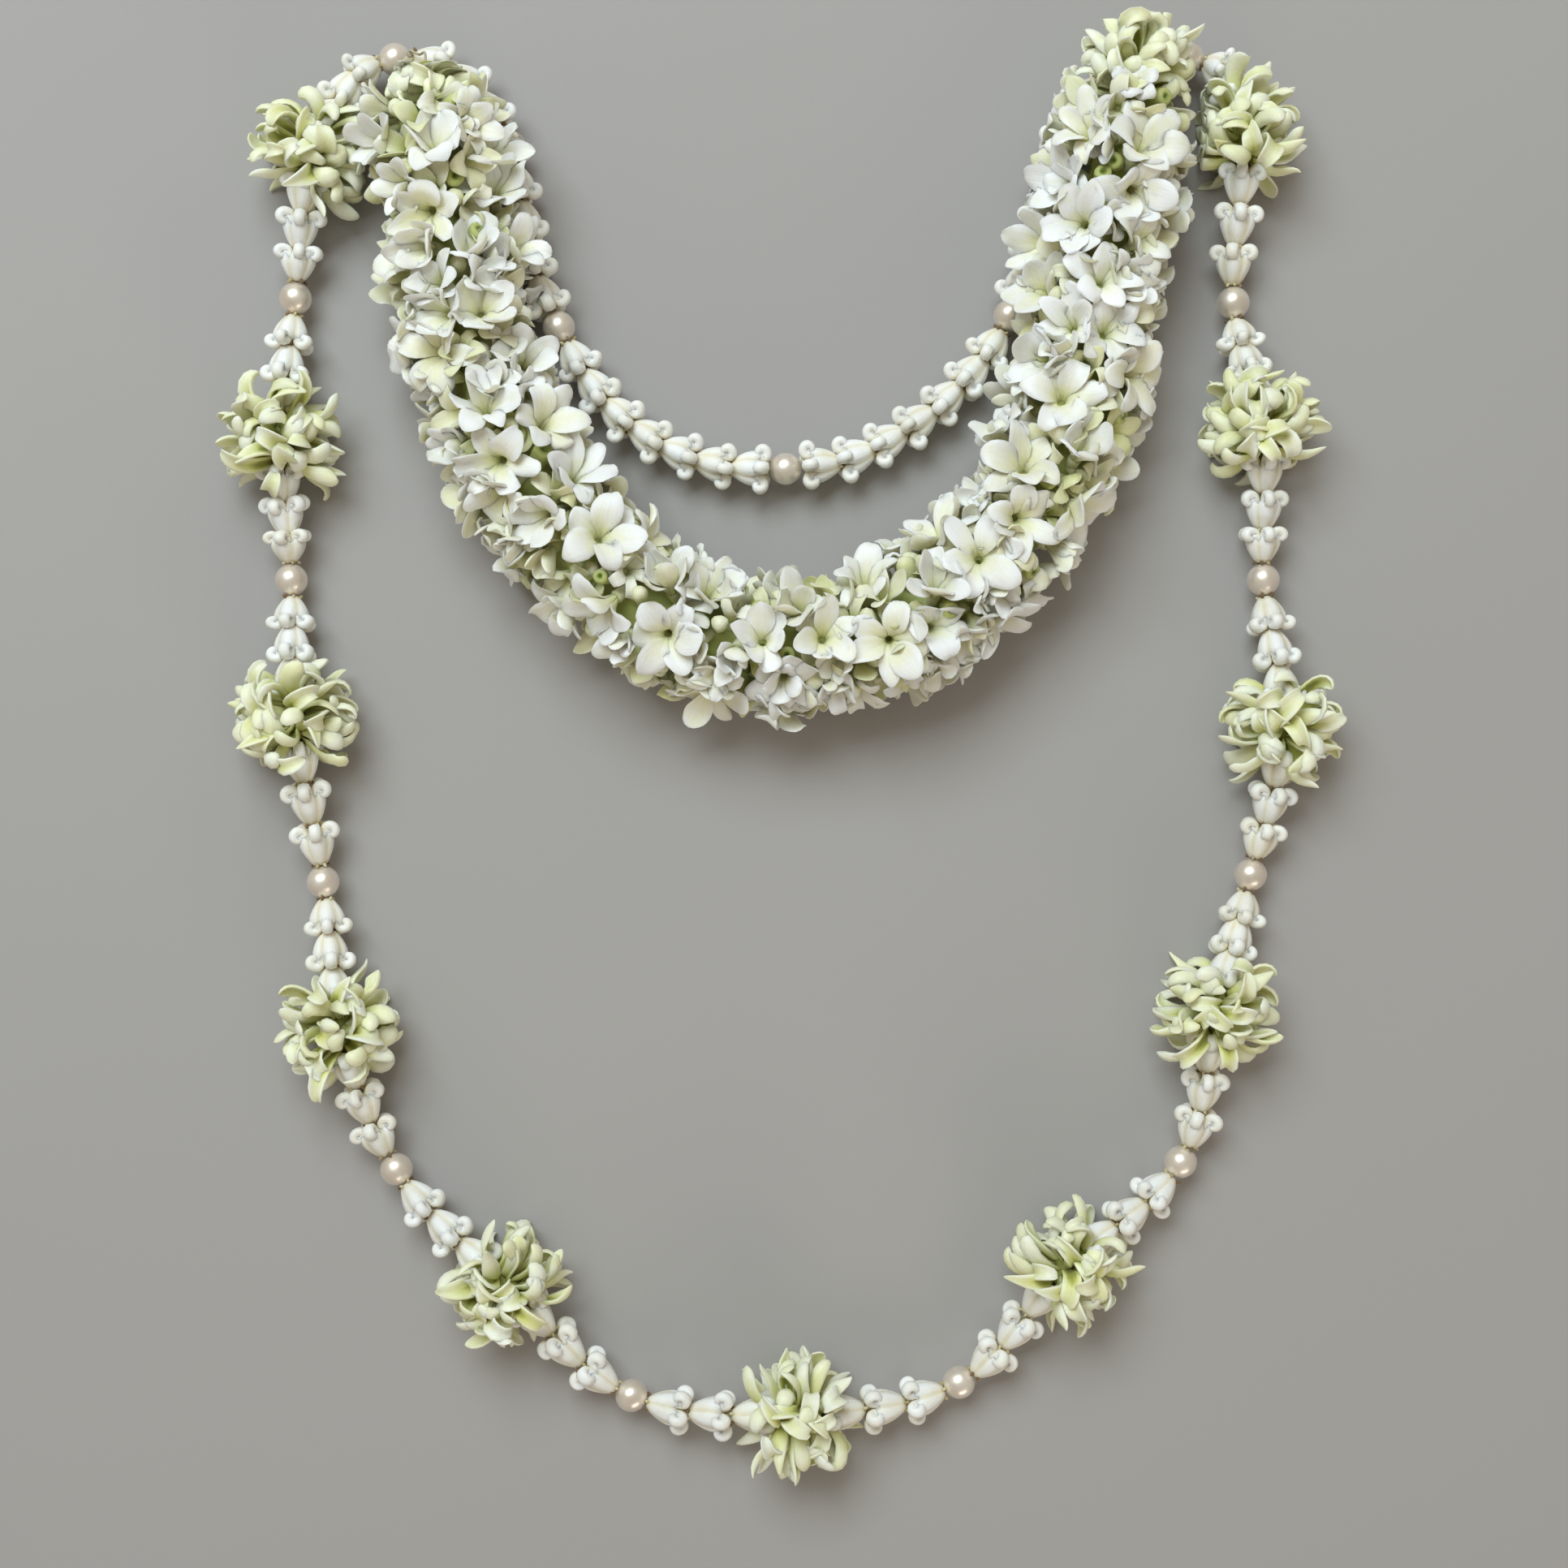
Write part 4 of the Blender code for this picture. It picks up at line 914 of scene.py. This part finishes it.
def floret(pile, here, crowding, grid):
    """One six-petalled floret with its throat and tube, from wide open to half closed."""
    draw, out = here["draw"], here["out"]
    tipped = tipped_by(here, here["lean"])
    tipped = here.get("tipped", tipped)
    across, aside = frame_across(tipped)
    size = draw.uniform(*here["size"])
    spin = here.get("turn", draw.uniform(0, 2 * math.pi))
    open_way = math.radians(draw.triangular(*here["open"]))
    droop_all = draw.uniform(-0.25, 1.1)
    cream = draw.uniform(0.0, 0.6)
    greening = draw.uniform(0.35, 0.9)
    mark = draw.random()
    root = here.get("root", here["centre"] + here["height"] * out)
    whorls = [(6, 1.0, 0.0, 0.0)]
    if draw.random() < here["double"]:
        whorls.append((4, 0.7, 0.75, 0.7))
    for count, scale, lift, stand in whorls:
        for k in range(count):
            angle = spin + lift + 2 * math.pi * (k + draw.uniform(-0.15, 0.15)) / count
            inner = k % 2 if count == 6 else 1
            radial = around(angle, across, aside)
            beside = around(angle, aside, -across)
            length = FLORET_LENGTH * size * scale * draw.uniform(0.88, 1.07)
            wide = ((OUTER_WIDTH + INNER_WIDER * inner) * size * scale ** 0.6
                    * draw.uniform(0.86, 1.14))
            blunt = draw.uniform(0.2, 0.8) + 0.4 * inner
            rise = open_way + stand + draw.uniform(-0.3, 0.3) + 0.16 * inner
            droop = droop_all + draw.uniform(-0.65, 0.65)
            bend = [(0, 1.42), (0.12, 1.38), (0.28, 0.5 * (1.35 + rise)), (0.44, rise),
                    (0.62, rise - 0.3 * droop), (0.82, rise - 0.8 * droop),
                    (1, rise - 1.6 * droop)]
            half = widths([(0, 0.8), (0.12, 1.05), (0.26, 1.7)],
                          [(place, plain + extra * blunt) for place, plain, extra in FLORET_WIDTHS],
                          wide)
            cupped = draw.uniform(-0.4, 1.15)
            roll = [(0, 0.65), (0.3, 0.62), (0.5, 0.4 + 0.5 * cupped), (0.8, cupped),
                    (1, draw.uniform(0.0, 0.9))]
            edge = [(0, 0.0), (0.4, 0.0), (0.65, draw.uniform(-1.8, 0.8)),
                    (1, draw.uniform(-1.5, 1.1))]
            made = blade(
                *grid, 1.15, length, bend, half, roll, edge, FLORET_THICKNESS,
                twist=draw.uniform(-0.65, 0.65), sway=draw.uniform(-0.12, 0.12),
                ruffle=(draw.uniform(0.1, 1.1), draw.uniform(0.6, 1.6), draw.uniform(0, 6)),
                furrow=draw.uniform(0.05, 0.45))
            _, u, v, face = made
            # Cream towards the throat is partly the petals' own colour and partly painted warm
            # shade;
            # the undersides are painted creamier as shade, and the rims painted whiter as
            # highlight.
            green = 0.85 * greening * smooth(0.52, 0.02, u) + 0.1 * (face < 0)
            creamy = np.clip(cream - 0.2 + 0.85 * smooth(0.85, 0.15, u)
                             - 0.5 * np.abs(v) ** 4 + 0.4 * (face < 0), 0, 1)
            set_petal(pile, grid, made, (root + 0.35 * inner * out, radial, beside, tipped),
                      here, crowding, (green, creamy, mark + 0.03 * k),
                      (length, wide, 10 * mark + k))
    add_lathe(pile, *FLORET_TUBE, (root, across, aside, tipped),
              lambda share: 0.4 + 0.45 * (share > 0.55), 0.5, mark)


def tuft(pile, here, crowding):
    """A few folded or hooked petals of a half hidden floret."""
    draw = here["draw"]
    tipped = tipped_by(here, 0.45)
    across, aside = frame_across(tipped)
    root = here["centre"] + draw.uniform(8.4, 10.4) * here["out"]
    spin = draw.uniform(0, 2 * math.pi)
    count = draw.choice((3, 4, 4, 5))
    cream = draw.uniform(0.35, 1.0)
    greening = draw.uniform(0.5, 1.0)
    base_green = draw.choice((0.0, 0.08, 0.2, 0.45))
    mark = draw.random()
    for k in range(count):
        angle = spin + 2 * math.pi * (k + draw.uniform(-0.15, 0.15)) / count
        radial = around(angle, across, aside)
        beside = around(angle, aside, -across)
        curled = draw.random() < 0.3
        length = draw.uniform(13.0, 15.5) if curled else draw.uniform(11.5, 15.0)
        wide = draw.uniform(1.9, 2.6) if curled else draw.uniform(3.2, 4.3)
        rise = math.radians(draw.uniform(45, 80) if curled else draw.uniform(32, 78))
        hook = draw.uniform(2.0, 2.9) if curled else draw.uniform(-0.9, 1.7)
        bend = [(0, 1.4), (0.2, 1.35), (0.45, rise), (0.7, rise - 0.4 * hook),
                (1, rise - 1.45 * hook)]
        half = widths([(0, 0.9), (0.25, 1.5)], TUFT_WIDTHS, wide)
        roll = [(0, 0.7), (0.5, draw.uniform(0.2, 0.8)), (1, draw.uniform(-0.2, 0.7))]
        edge = [(0, 0.1), (0.5, draw.uniform(-0.8, 1.2)), (1, draw.uniform(-0.9, 1.2))]
        made = blade(
            *TUFT_BLADE, 0.9, length, bend, half, roll, edge, [(0, 0.6), (0.4, 1.0), (1, 1.05)],
            twist=draw.uniform(-0.5, 0.5), sway=draw.uniform(-0.08, 0.08),
            ruffle=(draw.uniform(0.0, 0.6), draw.uniform(0.7, 1.5), draw.uniform(0, 6)),
            furrow=draw.uniform(0.0, 0.25))
        _, u, _, face = made
        green = base_green + greening * smooth(0.6, 0.05, u) + 0.12 * (face < 0)
        set_petal(pile, TUFT_BLADE, made, (root, radial, beside, tipped), here, crowding,
                  (green, cream, mark + 0.04 * k), (length, wide, 10 * mark + k))
    add_lathe(pile, *TUFT_TUBE, (root, across, aside, tipped), 0.7, 0.6, mark)


def bud(pile, here, rise=(7.6, 9.0)):
    """A closed bud, pale green, with the edges of its folded petals."""
    draw = here["draw"]
    tipped = tipped_by(here, 0.5)
    heights, radii = BUD_SHAPE.T * draw.uniform(0.9, 1.2)
    twist = draw.uniform(-0.6, 0.6)
    mark = draw.random()

    def ribs(spin, k):
        return 1 + 0.07 * np.cos(3 * spin + twist * k) + 0.03 * np.cos(6 * spin - k)

    place = (here["centre"] + draw.uniform(*rise) * here["out"], *frame_across(tipped), tipped)
    add_lathe(pile, heights, radii, BUD_SIDES, place, lambda share: 0.95 - 0.75 * share, 0.7,
              mark, ribs)


def cut_tube(pile, here, rise=(8.6, 9.6)):
    """The green cut end of a floret's tube, with the hole in its middle."""
    draw = here["draw"]
    tipped = tipped_by(here, 0.25)
    radii = CUT_TUBE_RADII * draw.uniform(0.7, 1.0)
    mark = draw.random()
    place = (here["centre"] + draw.uniform(*rise) * here["out"], *frame_across(tipped), tipped)
    # The inside of the hole is painted deep green as shade.
    add_lathe(pile, CUT_TUBE_HEIGHTS, radii, CUT_TUBE_SIDES, place,
              lambda share: 0.98 + 0.4 * (share > 0.8), 0.3, mark,
              lambda spin, k: 1 + 0.035 * np.cos(3 * spin))


def rope_core(pile, line):
    """The bundle of tubes deep inside the rope, round its thread."""
    spin = spins(CORE_SIDES)
    line = finer(line, CORE_STEPS)
    rings = []
    for k, (point, way) in enumerate(zip(line, bends(line))):
        radius = (7.6 + 1.1 * np.abs(np.cos(4 * spin + 0.21 * k)) ** 1.5
                  + 0.5 * np.cos(2 * spin + 0.9 * k) + 0.35 * np.cos(5 * spin - 1.3 * k))
        flat = revolve([0.0], [radius], spin)[0]
        rings.append(placed(flat, point, *frame_across(way), way))
    points = np.concatenate(rings)
    # The deep green is partly the tubes' own colour and partly painted shade in the deep gaps.
    pile.put(points, flipped(ring_faces(len(rings), CORE_SIDES)),
             tones(len(points), 1.05, 0.6, 0.5), points.copy())


# ---------------------------------------------------------------- materials


class Nodes:
    """A small helper that adds linked shader nodes to one material."""

    def __init__(self, name):
        self.made = bpy.data.materials.new(name)
        self.made.use_nodes = True
        self.tree = self.made.node_tree
        self.shader = self.tree.nodes["Principled BSDF"]

    def put(self, socket, value):
        """Link a socket to what feeds it, or set it to a plain value."""
        if isinstance(value, bpy.types.NodeSocket):
            self.tree.links.new(value, socket)
        elif socket.type == "RGBA":
            socket.default_value = (*value, 1.0)
        else:
            socket.default_value = value

    def add(self, kind, inputs=None, **settings):
        node = self.tree.nodes.new(kind)
        for key, value in settings.items():
            setattr(node, key, value)
        for key, value in (inputs or {}).items():
            self.put(node.inputs[key], value)
        return node

    def place(self):
        """Where on the object each point is."""
        return self.add("ShaderNodeTexCoord").outputs["Object"]

    def read(self, attribute, output):
        """What the mesh says at each point, as make_piece wrote it."""
        return self.add("ShaderNodeAttribute", attribute_name=attribute).outputs[output]

    def mix(self, share, first, second, blend="MIX"):
        return self.add("ShaderNodeMix", {0: share, 6: first, 7: second}, data_type="RGBA",
                        blend_type=blend).outputs[2]

    def times(self, colour, value):
        """The colour made darker or lighter by a plain value."""
        grey = self.add("ShaderNodeCombineColor", {k: value for k in range(3)}).outputs[0]
        return self.mix(1.0, colour, grey, "MULTIPLY")

    def math(self, operation, first, second, clamp=False):
        return self.add("ShaderNodeMath", {0: first, 1: second}, operation=operation,
                        use_clamp=clamp).outputs[0]

    def noise(self, vector, scale, detail=2.0, rough=0.5):
        return self.add("ShaderNodeTexNoise", {"Vector": vector, "Scale": scale,
                                               "Detail": detail, "Roughness": rough}).outputs[0]

    def range(self, value, low, high, to_low, to_high):
        return self.add("ShaderNodeMapRange", {"Value": value, "From Min": low, "From Max": high,
                                               "To Min": to_low, "To Max": to_high}).outputs[0]

    def bump(self, height, strength, distance):
        return self.add("ShaderNodeBump", {"Height": height, "Strength": strength,
                                           "Distance": distance}).outputs[0]

    def set(self, **values):
        for key, value in values.items():
            self.put(self.shader.inputs[key.replace("_", " ")], value)
        return self.made


def petal_look(name, white, cream, green, deep_green, roughness, vein, wax):
    """A waxy petal: white turning to cream and green where its tone says, with fine veins. The tone
    holds painted shade and painted highlights as well as own colour.
    """
    m = Nodes(name)
    place = m.place()
    split = m.add("ShaderNodeSeparateColor", {"Color": m.read("tone", "Color")}).outputs
    mottle = m.noise(place, 190.0, 3.0)
    patch = m.noise(place, 62.0)
    creamy = m.math("ADD", split[1], m.range(mottle, 0.3, 0.7, -0.18, 0.18), True)
    colour = m.mix(creamy, white, cream)
    greened = m.math("ADD", split[0], m.range(mottle, 0.3, 0.7, -0.12, 0.12), True)
    colour = m.mix(greened, colour, green)
    colour = m.mix(m.range(split[0], 0.85, 1.25, 0.0, 1.0), colour, deep_green)
    shade = m.range(patch, 0.3, 0.75, 1.0, 0.93)
    own = m.range(split[2], 0.0, 1.0, 0.95, 1.02)
    colour = m.times(colour, m.math("MULTIPLY", shade, own))
    stretched = m.add("ShaderNodeVectorMath", {0: m.read("grain", "Vector"), 1: (0.16, 1.15, 1.0)},
                      operation="MULTIPLY").outputs[0]
    veins = m.noise(stretched, vein, 2.0, 0.55)
    pores = m.noise(place, 2600.0)
    colour = m.times(colour, m.range(veins, 0.35, 0.7, 1.0, 0.965))
    relief = m.math("ADD", veins, m.math("MULTIPLY", pores, 0.35))
    return m.set(
        Base_Color=colour, Roughness=m.range(mottle, 0.3, 0.7, roughness, roughness + 0.14),
        Normal=m.bump(relief, 0.55, 0.00026), Subsurface_Weight=wax, Subsurface_Scale=0.0012,
        Subsurface_Radius=(1.0, 0.96, 0.88), Specular_IOR_Level=0.4, Sheen_Weight=0.08,
        Sheen_Roughness=0.5)


def pearl_look():
    """A cream pink bead with a soft lustre under a clear gloss."""
    m = Nodes("pearl_lustre")
    place = m.place()
    split = m.add("ShaderNodeSeparateColor", {"Color": m.read("tone", "Color")}).outputs
    cloud = m.noise(place, 240.0, 3.0)
    share = m.math("ADD", m.range(cloud, 0.35, 0.65, 0.0, 0.6),
                   m.math("MULTIPLY", split[1], 0.4), True)
    return m.set(
        Base_Color=m.mix(share, (0.80, 0.71, 0.61), (0.92, 0.87, 0.80)),
        Roughness=m.range(cloud, 0.3, 0.7, 0.3, 0.4), Metallic=0.6,
        Normal=m.bump(m.noise(place, 700.0), 0.12, 0.0002), Coat_Weight=0.8,
        Coat_Roughness=0.16, Coat_Tint=(1.0, 0.97, 0.94), Sheen_Weight=0.25,
        Sheen_Roughness=0.35, Sheen_Tint=(1.0, 0.93, 0.88), Subsurface_Weight=0.12,
        Subsurface_Scale=0.002)


def thread_look():
    """Straw coloured cotton, twisted from fine plies."""
    m = Nodes("twisted_cotton")
    ply = m.add("ShaderNodeTexWave", {"Vector": m.read("grain", "Vector"), "Scale": 1.3,
                                      "Distortion": 0.6, "Detail": 2.0},
                bands_direction="DIAGONAL").outputs["Fac"]
    return m.set(Base_Color=m.mix(ply, (0.55, 0.47, 0.30), (0.78, 0.70, 0.50)),
                 Roughness=m.range(ply, 0, 1, 0.9, 0.75), Normal=m.bump(ply, 0.7, 0.0002))


def floor_look():
    m = Nodes("pale_floor")
    colour = m.mix(m.noise(m.place(), 3.0, 3.0), (0.375, 0.357, 0.345), (0.405, 0.386, 0.373))
    return m.set(Base_Color=colour, Roughness=0.85, Specular_IOR_Level=0.2)


LOOKS = {
    "crown_flower": petal_look("crown_wax", (0.95, 0.95, 0.93), (0.90, 0.84, 0.67),
                               (0.60, 0.50, 0.24), (0.20, 0.12, 0.05), 0.42, 1.6, 0.5),
    "pompon_petal": petal_look("pompon_wax", (0.94, 0.95, 0.82), (0.91, 0.90, 0.50),
                               (0.70, 0.71, 0.22), (0.36, 0.37, 0.08), 0.40, 1.5, 0.5),
    "tuberose": petal_look("floret_wax", (0.93, 0.93, 0.92), (0.90, 0.87, 0.62),
                           (0.66, 0.68, 0.26), (0.26, 0.33, 0.06), 0.40, 1.4, 0.6),
    "pearl": pearl_look(),
    "thread": thread_look(),
}
PIECE_WORDS = {"crown_flower": "flowers", "pompon_petal": "petals", "tuberose": "florets",
               "pearl": "bead", "thread": "twist"}

# ---------------------------------------------------------------- building

UPRIGHT = np.array((0.0, 0.0, 1.0))
THREAD_SIDES = 8
THREAD_PARTS = 3
TIE_POINTS = 44
SEEN_RISE = (10.4, 11.2)
# What a gap in the rope holds: drawn up to these shares, and tufts past them
TUBE_SHARE, BUD_SHARE, FLORET_SHARE = 0.05, 0.14, 0.42


def round_thread(pile, line, closed=False):
    """A fine round thread along a line of points."""
    side = frame_across(bends(line, closed)[0])[0]
    spin = spins(THREAD_SIDES)
    rings, grains = [], []
    far = 0.0
    for i, (point, way) in enumerate(zip(line, bends(line, closed))):
        side = unit(side - np.dot(side, way) * way)
        flat = revolve([0.0], [THREAD_RADIUS], spin)[0]
        rings.append(placed(flat, point, side, np.cross(side, way), way))
        far += np.linalg.norm(point - line[i - 1]) if i else 0.0
        grains.append(np.column_stack([np.full(THREAD_SIDES, far), spin, np.zeros(THREAD_SIDES)]))
    points = np.concatenate(rings)
    pile.put(points, ring_faces(len(rings), THREAD_SIDES, closed), tones(len(points), 0, 0, 0.5),
             np.concatenate(grains))


def dress_strand(beads):
    """The long strand's pearls and pompons, and the crown flowers that follow each."""
    for i, bead in enumerate(beads):
        pile = Pile()
        if bead["kind"] == "pearl":
            pearl(pile, bead)
            make_piece("pearl", pile, bead["name"])
        else:
            limits = []
            if bead["name"] in BESIDE_ROPE:
                inward = np.array((-math.copysign(1.0, bead["line"][0][0]), 0, 0))
                limits = [(-NEAR_ROPE_LIMIT * inward, inward)]
            pompon(pile, bead["name"], bead["line"], LEANS.get(bead["name"], 0), limits)
            make_piece("pompon_petal", pile, bead["name"])
        pile = Pile()
        for k, (narrow, wide) in enumerate(zip(bead["run"], bead["run"][1:])):
            draw = random.Random(f"crown {i} {k}")
            least, most = NEST_LIMITS
            far = np.linalg.norm(wide - narrow)
            nest = min(max(NESTED_LENGTH - far, least), most) if k else 0.0
            crown(pile, narrow, wide, bead["turn"] + draw.uniform(-0.12, 0.12), nest, draw)
        make_piece("crown_flower", pile, f"crowns_{i + 1:02d}")


def dress_rope(line, strand):
    """The thick rope: its core, the florets, and what shows in the gaps between them."""
    seen = bloom_places(line)
    throats = np.array([here["middle"] for here in seen])
    places = seen + [here for here in floret_places(line)
                     if np.linalg.norm(throats - here["middle"], axis=1).min() > BLOOM_ROOM]
    fillers = filler_places(line, places)
    for number, (low, high) in enumerate(zip(ROPE_NODE_ENDS, ROPE_NODE_ENDS[1:]), 1):
        pile = Pile()
        rope_core(pile, line[low:high + 1])
        for here in places:
            if low <= here["ring"] < high:
                near = strand_near(strand, here, STRAND_NEAR_FLORET)
                floret(pile, here, (walls_of(here, places), near), FLORET_BLADE)
        for make, spots in ((cut_tube, CUT_TUBES), (bud, BUDS)):
            for x, y in spots:
                here = seat_on(line, x, y, THROAT_REACH)
                if low <= here["ring"] < high:
                    here["draw"] = random.Random(f"{make.__name__} {x} {y}")
                    make(pile, here, SEEN_RISE)
        for here in fillers:
            if not low <= here["ring"] < high:
                continue
            near = strand_near(strand, here, STRAND_NEAR_FILLER)
            kind = here["draw"].random()
            if kind < TUBE_SHARE and near is None:
                cut_tube(pile, here)
            elif kind < BUD_SHARE and near is None:
                bud(pile, here)
            elif kind < FLORET_SHARE:
                floret(pile, here, (walls_of(here, places), near), FILLER_BLADE)
            else:
                tuft(pile, here, (walls_of(here, places), near))
        make_piece("tuberose", pile, f"tuberose_rope_{number}")


def dress_rope_ends(line, beads, ties):
    """The pompons that end the rope. Gives back the rope thread's line past each of them."""
    tails = []
    for spec, (tie, _) in zip(END_POMPONS, ties):
        tip, before = (line[0], line[1]) if spec["rope_end"] == 0 else (line[-1], line[-2])
        end = tip + (2 * POMPON_HALF + JOINT_GAP) * unit(tip - before)
        end[2] = spec["height"]
        along = unit(end - tip)
        limits = [(tip + JOINT_GAP / 2 * along, -along),
                  (np.array((0, spec["far"], 0.0)), np.array((0.0, 1.0, 0.0)))]
        drop = Route([end, end + TAIL_BEND * along - TAIL_SAG * UPRIGHT,
                      (end + TAIL_BEND * along + tie) / 2, tie + TAIL_HOVER * UPRIGHT,
                      tie + TIE_RADIUS * UPRIGHT], closed=False)
        tails.append(drop.split(TAIL_PARTS))
        if spec["rope_end"] == 0:
            bead = np.mean(beads[0]["line"], axis=0)
            aside = unit((bead - end) * (1, 1, 0))
            limits.append((bead - (PEARL_RADIUS + PEARL_ROOM) * aside, aside))
        pile = Pile()
        pompon(pile, spec["name"], (tip, end), spec["lean"], limits, spec["paler"],
               spec["reach"])
        make_piece("pompon_petal", pile, spec["name"])
    return tails


def dress_threads(thread, whole, ties):
    """The long strand's closed thread, and the rope's thread with its two coiled ties."""
    pile = Pile()
    round_thread(pile, finer(thread, THREAD_PARTS, closed=True), closed=True)
    make_piece("thread", pile, "long_thread")
    pile = Pile()
    round_thread(pile, finer(whole, THREAD_PARTS))
    for place, way in ties:
        side, up = frame_across(way)
        turns = np.linspace(-TIE_WRAPS / 2, TIE_WRAPS / 2, TIE_POINTS)
        round_thread(pile, [place + TIE_SPREAD * turn * way
                            + TIE_RADIUS * around(2 * math.pi * turn, side, up)
                            for turn in turns])
    make_piece("thread", pile, "rope_thread")


def main():
    strand = Route([(x, y, HEIGHTS[kind]) for kind, x, y in STRAND], closed=True)
    beads, thread, ties = lay_strand(strand)
    dress_strand(beads)
    line = Route(ROPE, closed=False).split(ROPE_RINGS)
    dress_rope(line, np.array([strand.at(far) for far in np.arange(0, strand.length, STRAND_STEP)]))
    tails = dress_rope_ends(line, beads, ties)
    dress_threads(thread, tails[0][::-1] + line + tails[1], ties)


# ---------------------------------------------------------------- stage

FLOOR_REACH = 6.0
SKY_COLOUR = (1.0, 0.895, 0.74, 1.0)
SKY_STRENGTH = 0.37
# Area lights aimed at the object: place, width and depth, watts, colour
LAMPS = {
    "window": ((-0.42, 0.95, 1.5), (1.3, 1.0), 29.5, (0.81, 0.935, 1.0)),
    "bounce": ((0.5, -1.3, 0.5), (0.9, 0.4), 3.5, (1.0, 0.94, 0.86)),
}
CAMERA_HEIGHT = 0.70
SENSOR_WIDTH = 36.0
# The camera sees this width at this distance
SEEN_WIDTH, SEEN_FROM = 0.483, 0.69


def add_object(name, data):
    made = bpy.data.objects.new(name, data)
    bpy.context.scene.collection.objects.link(made)
    return made


def add_stage():
    """A plain floor, a soft window light with a weak bounce, and the camera overhead."""
    mesh = bpy.data.meshes.new("floor")
    corners = [(x * FLOOR_REACH, y * FLOOR_REACH, 0)
               for x, y in ((-1, -1), (1, -1), (1, 1), (-1, 1))]
    mesh.from_pydata(corners, [], [(0, 1, 2, 3)])
    mesh.materials.append(floor_look())
    floor = add_object("floor", mesh)

    scene = bpy.context.scene
    scene.world = bpy.data.worlds.new("soft_light")
    scene.world.use_nodes = True
    sky = scene.world.node_tree.nodes["Background"].inputs
    sky[0].default_value = SKY_COLOUR
    sky[1].default_value = SKY_STRENGTH

    for name, (place, size, power, colour) in LAMPS.items():
        light = bpy.data.lights.new(name, "AREA")
        light.shape = "RECTANGLE"
        light.size, light.size_y = size
        light.energy = power
        light.color = colour
        lamp = add_object(name, light)
        lamp.location = place
        lamp.rotation_euler = (-Vector(place)).to_track_quat("-Z", "Y").to_euler()

    camera = bpy.data.cameras.new("camera")
    camera.sensor_width = SENSOR_WIDTH
    camera.lens = SENSOR_WIDTH * SEEN_FROM / SEEN_WIDTH
    camera.clip_start, camera.clip_end = 0.01, 20.0
    scene.camera = add_object("camera", camera)
    scene.camera.location = (-SHIFT[0] * MM, -SHIFT[1] * MM, CAMERA_HEIGHT)
    scene.view_settings.view_transform = "Standard"


main()
add_stage()
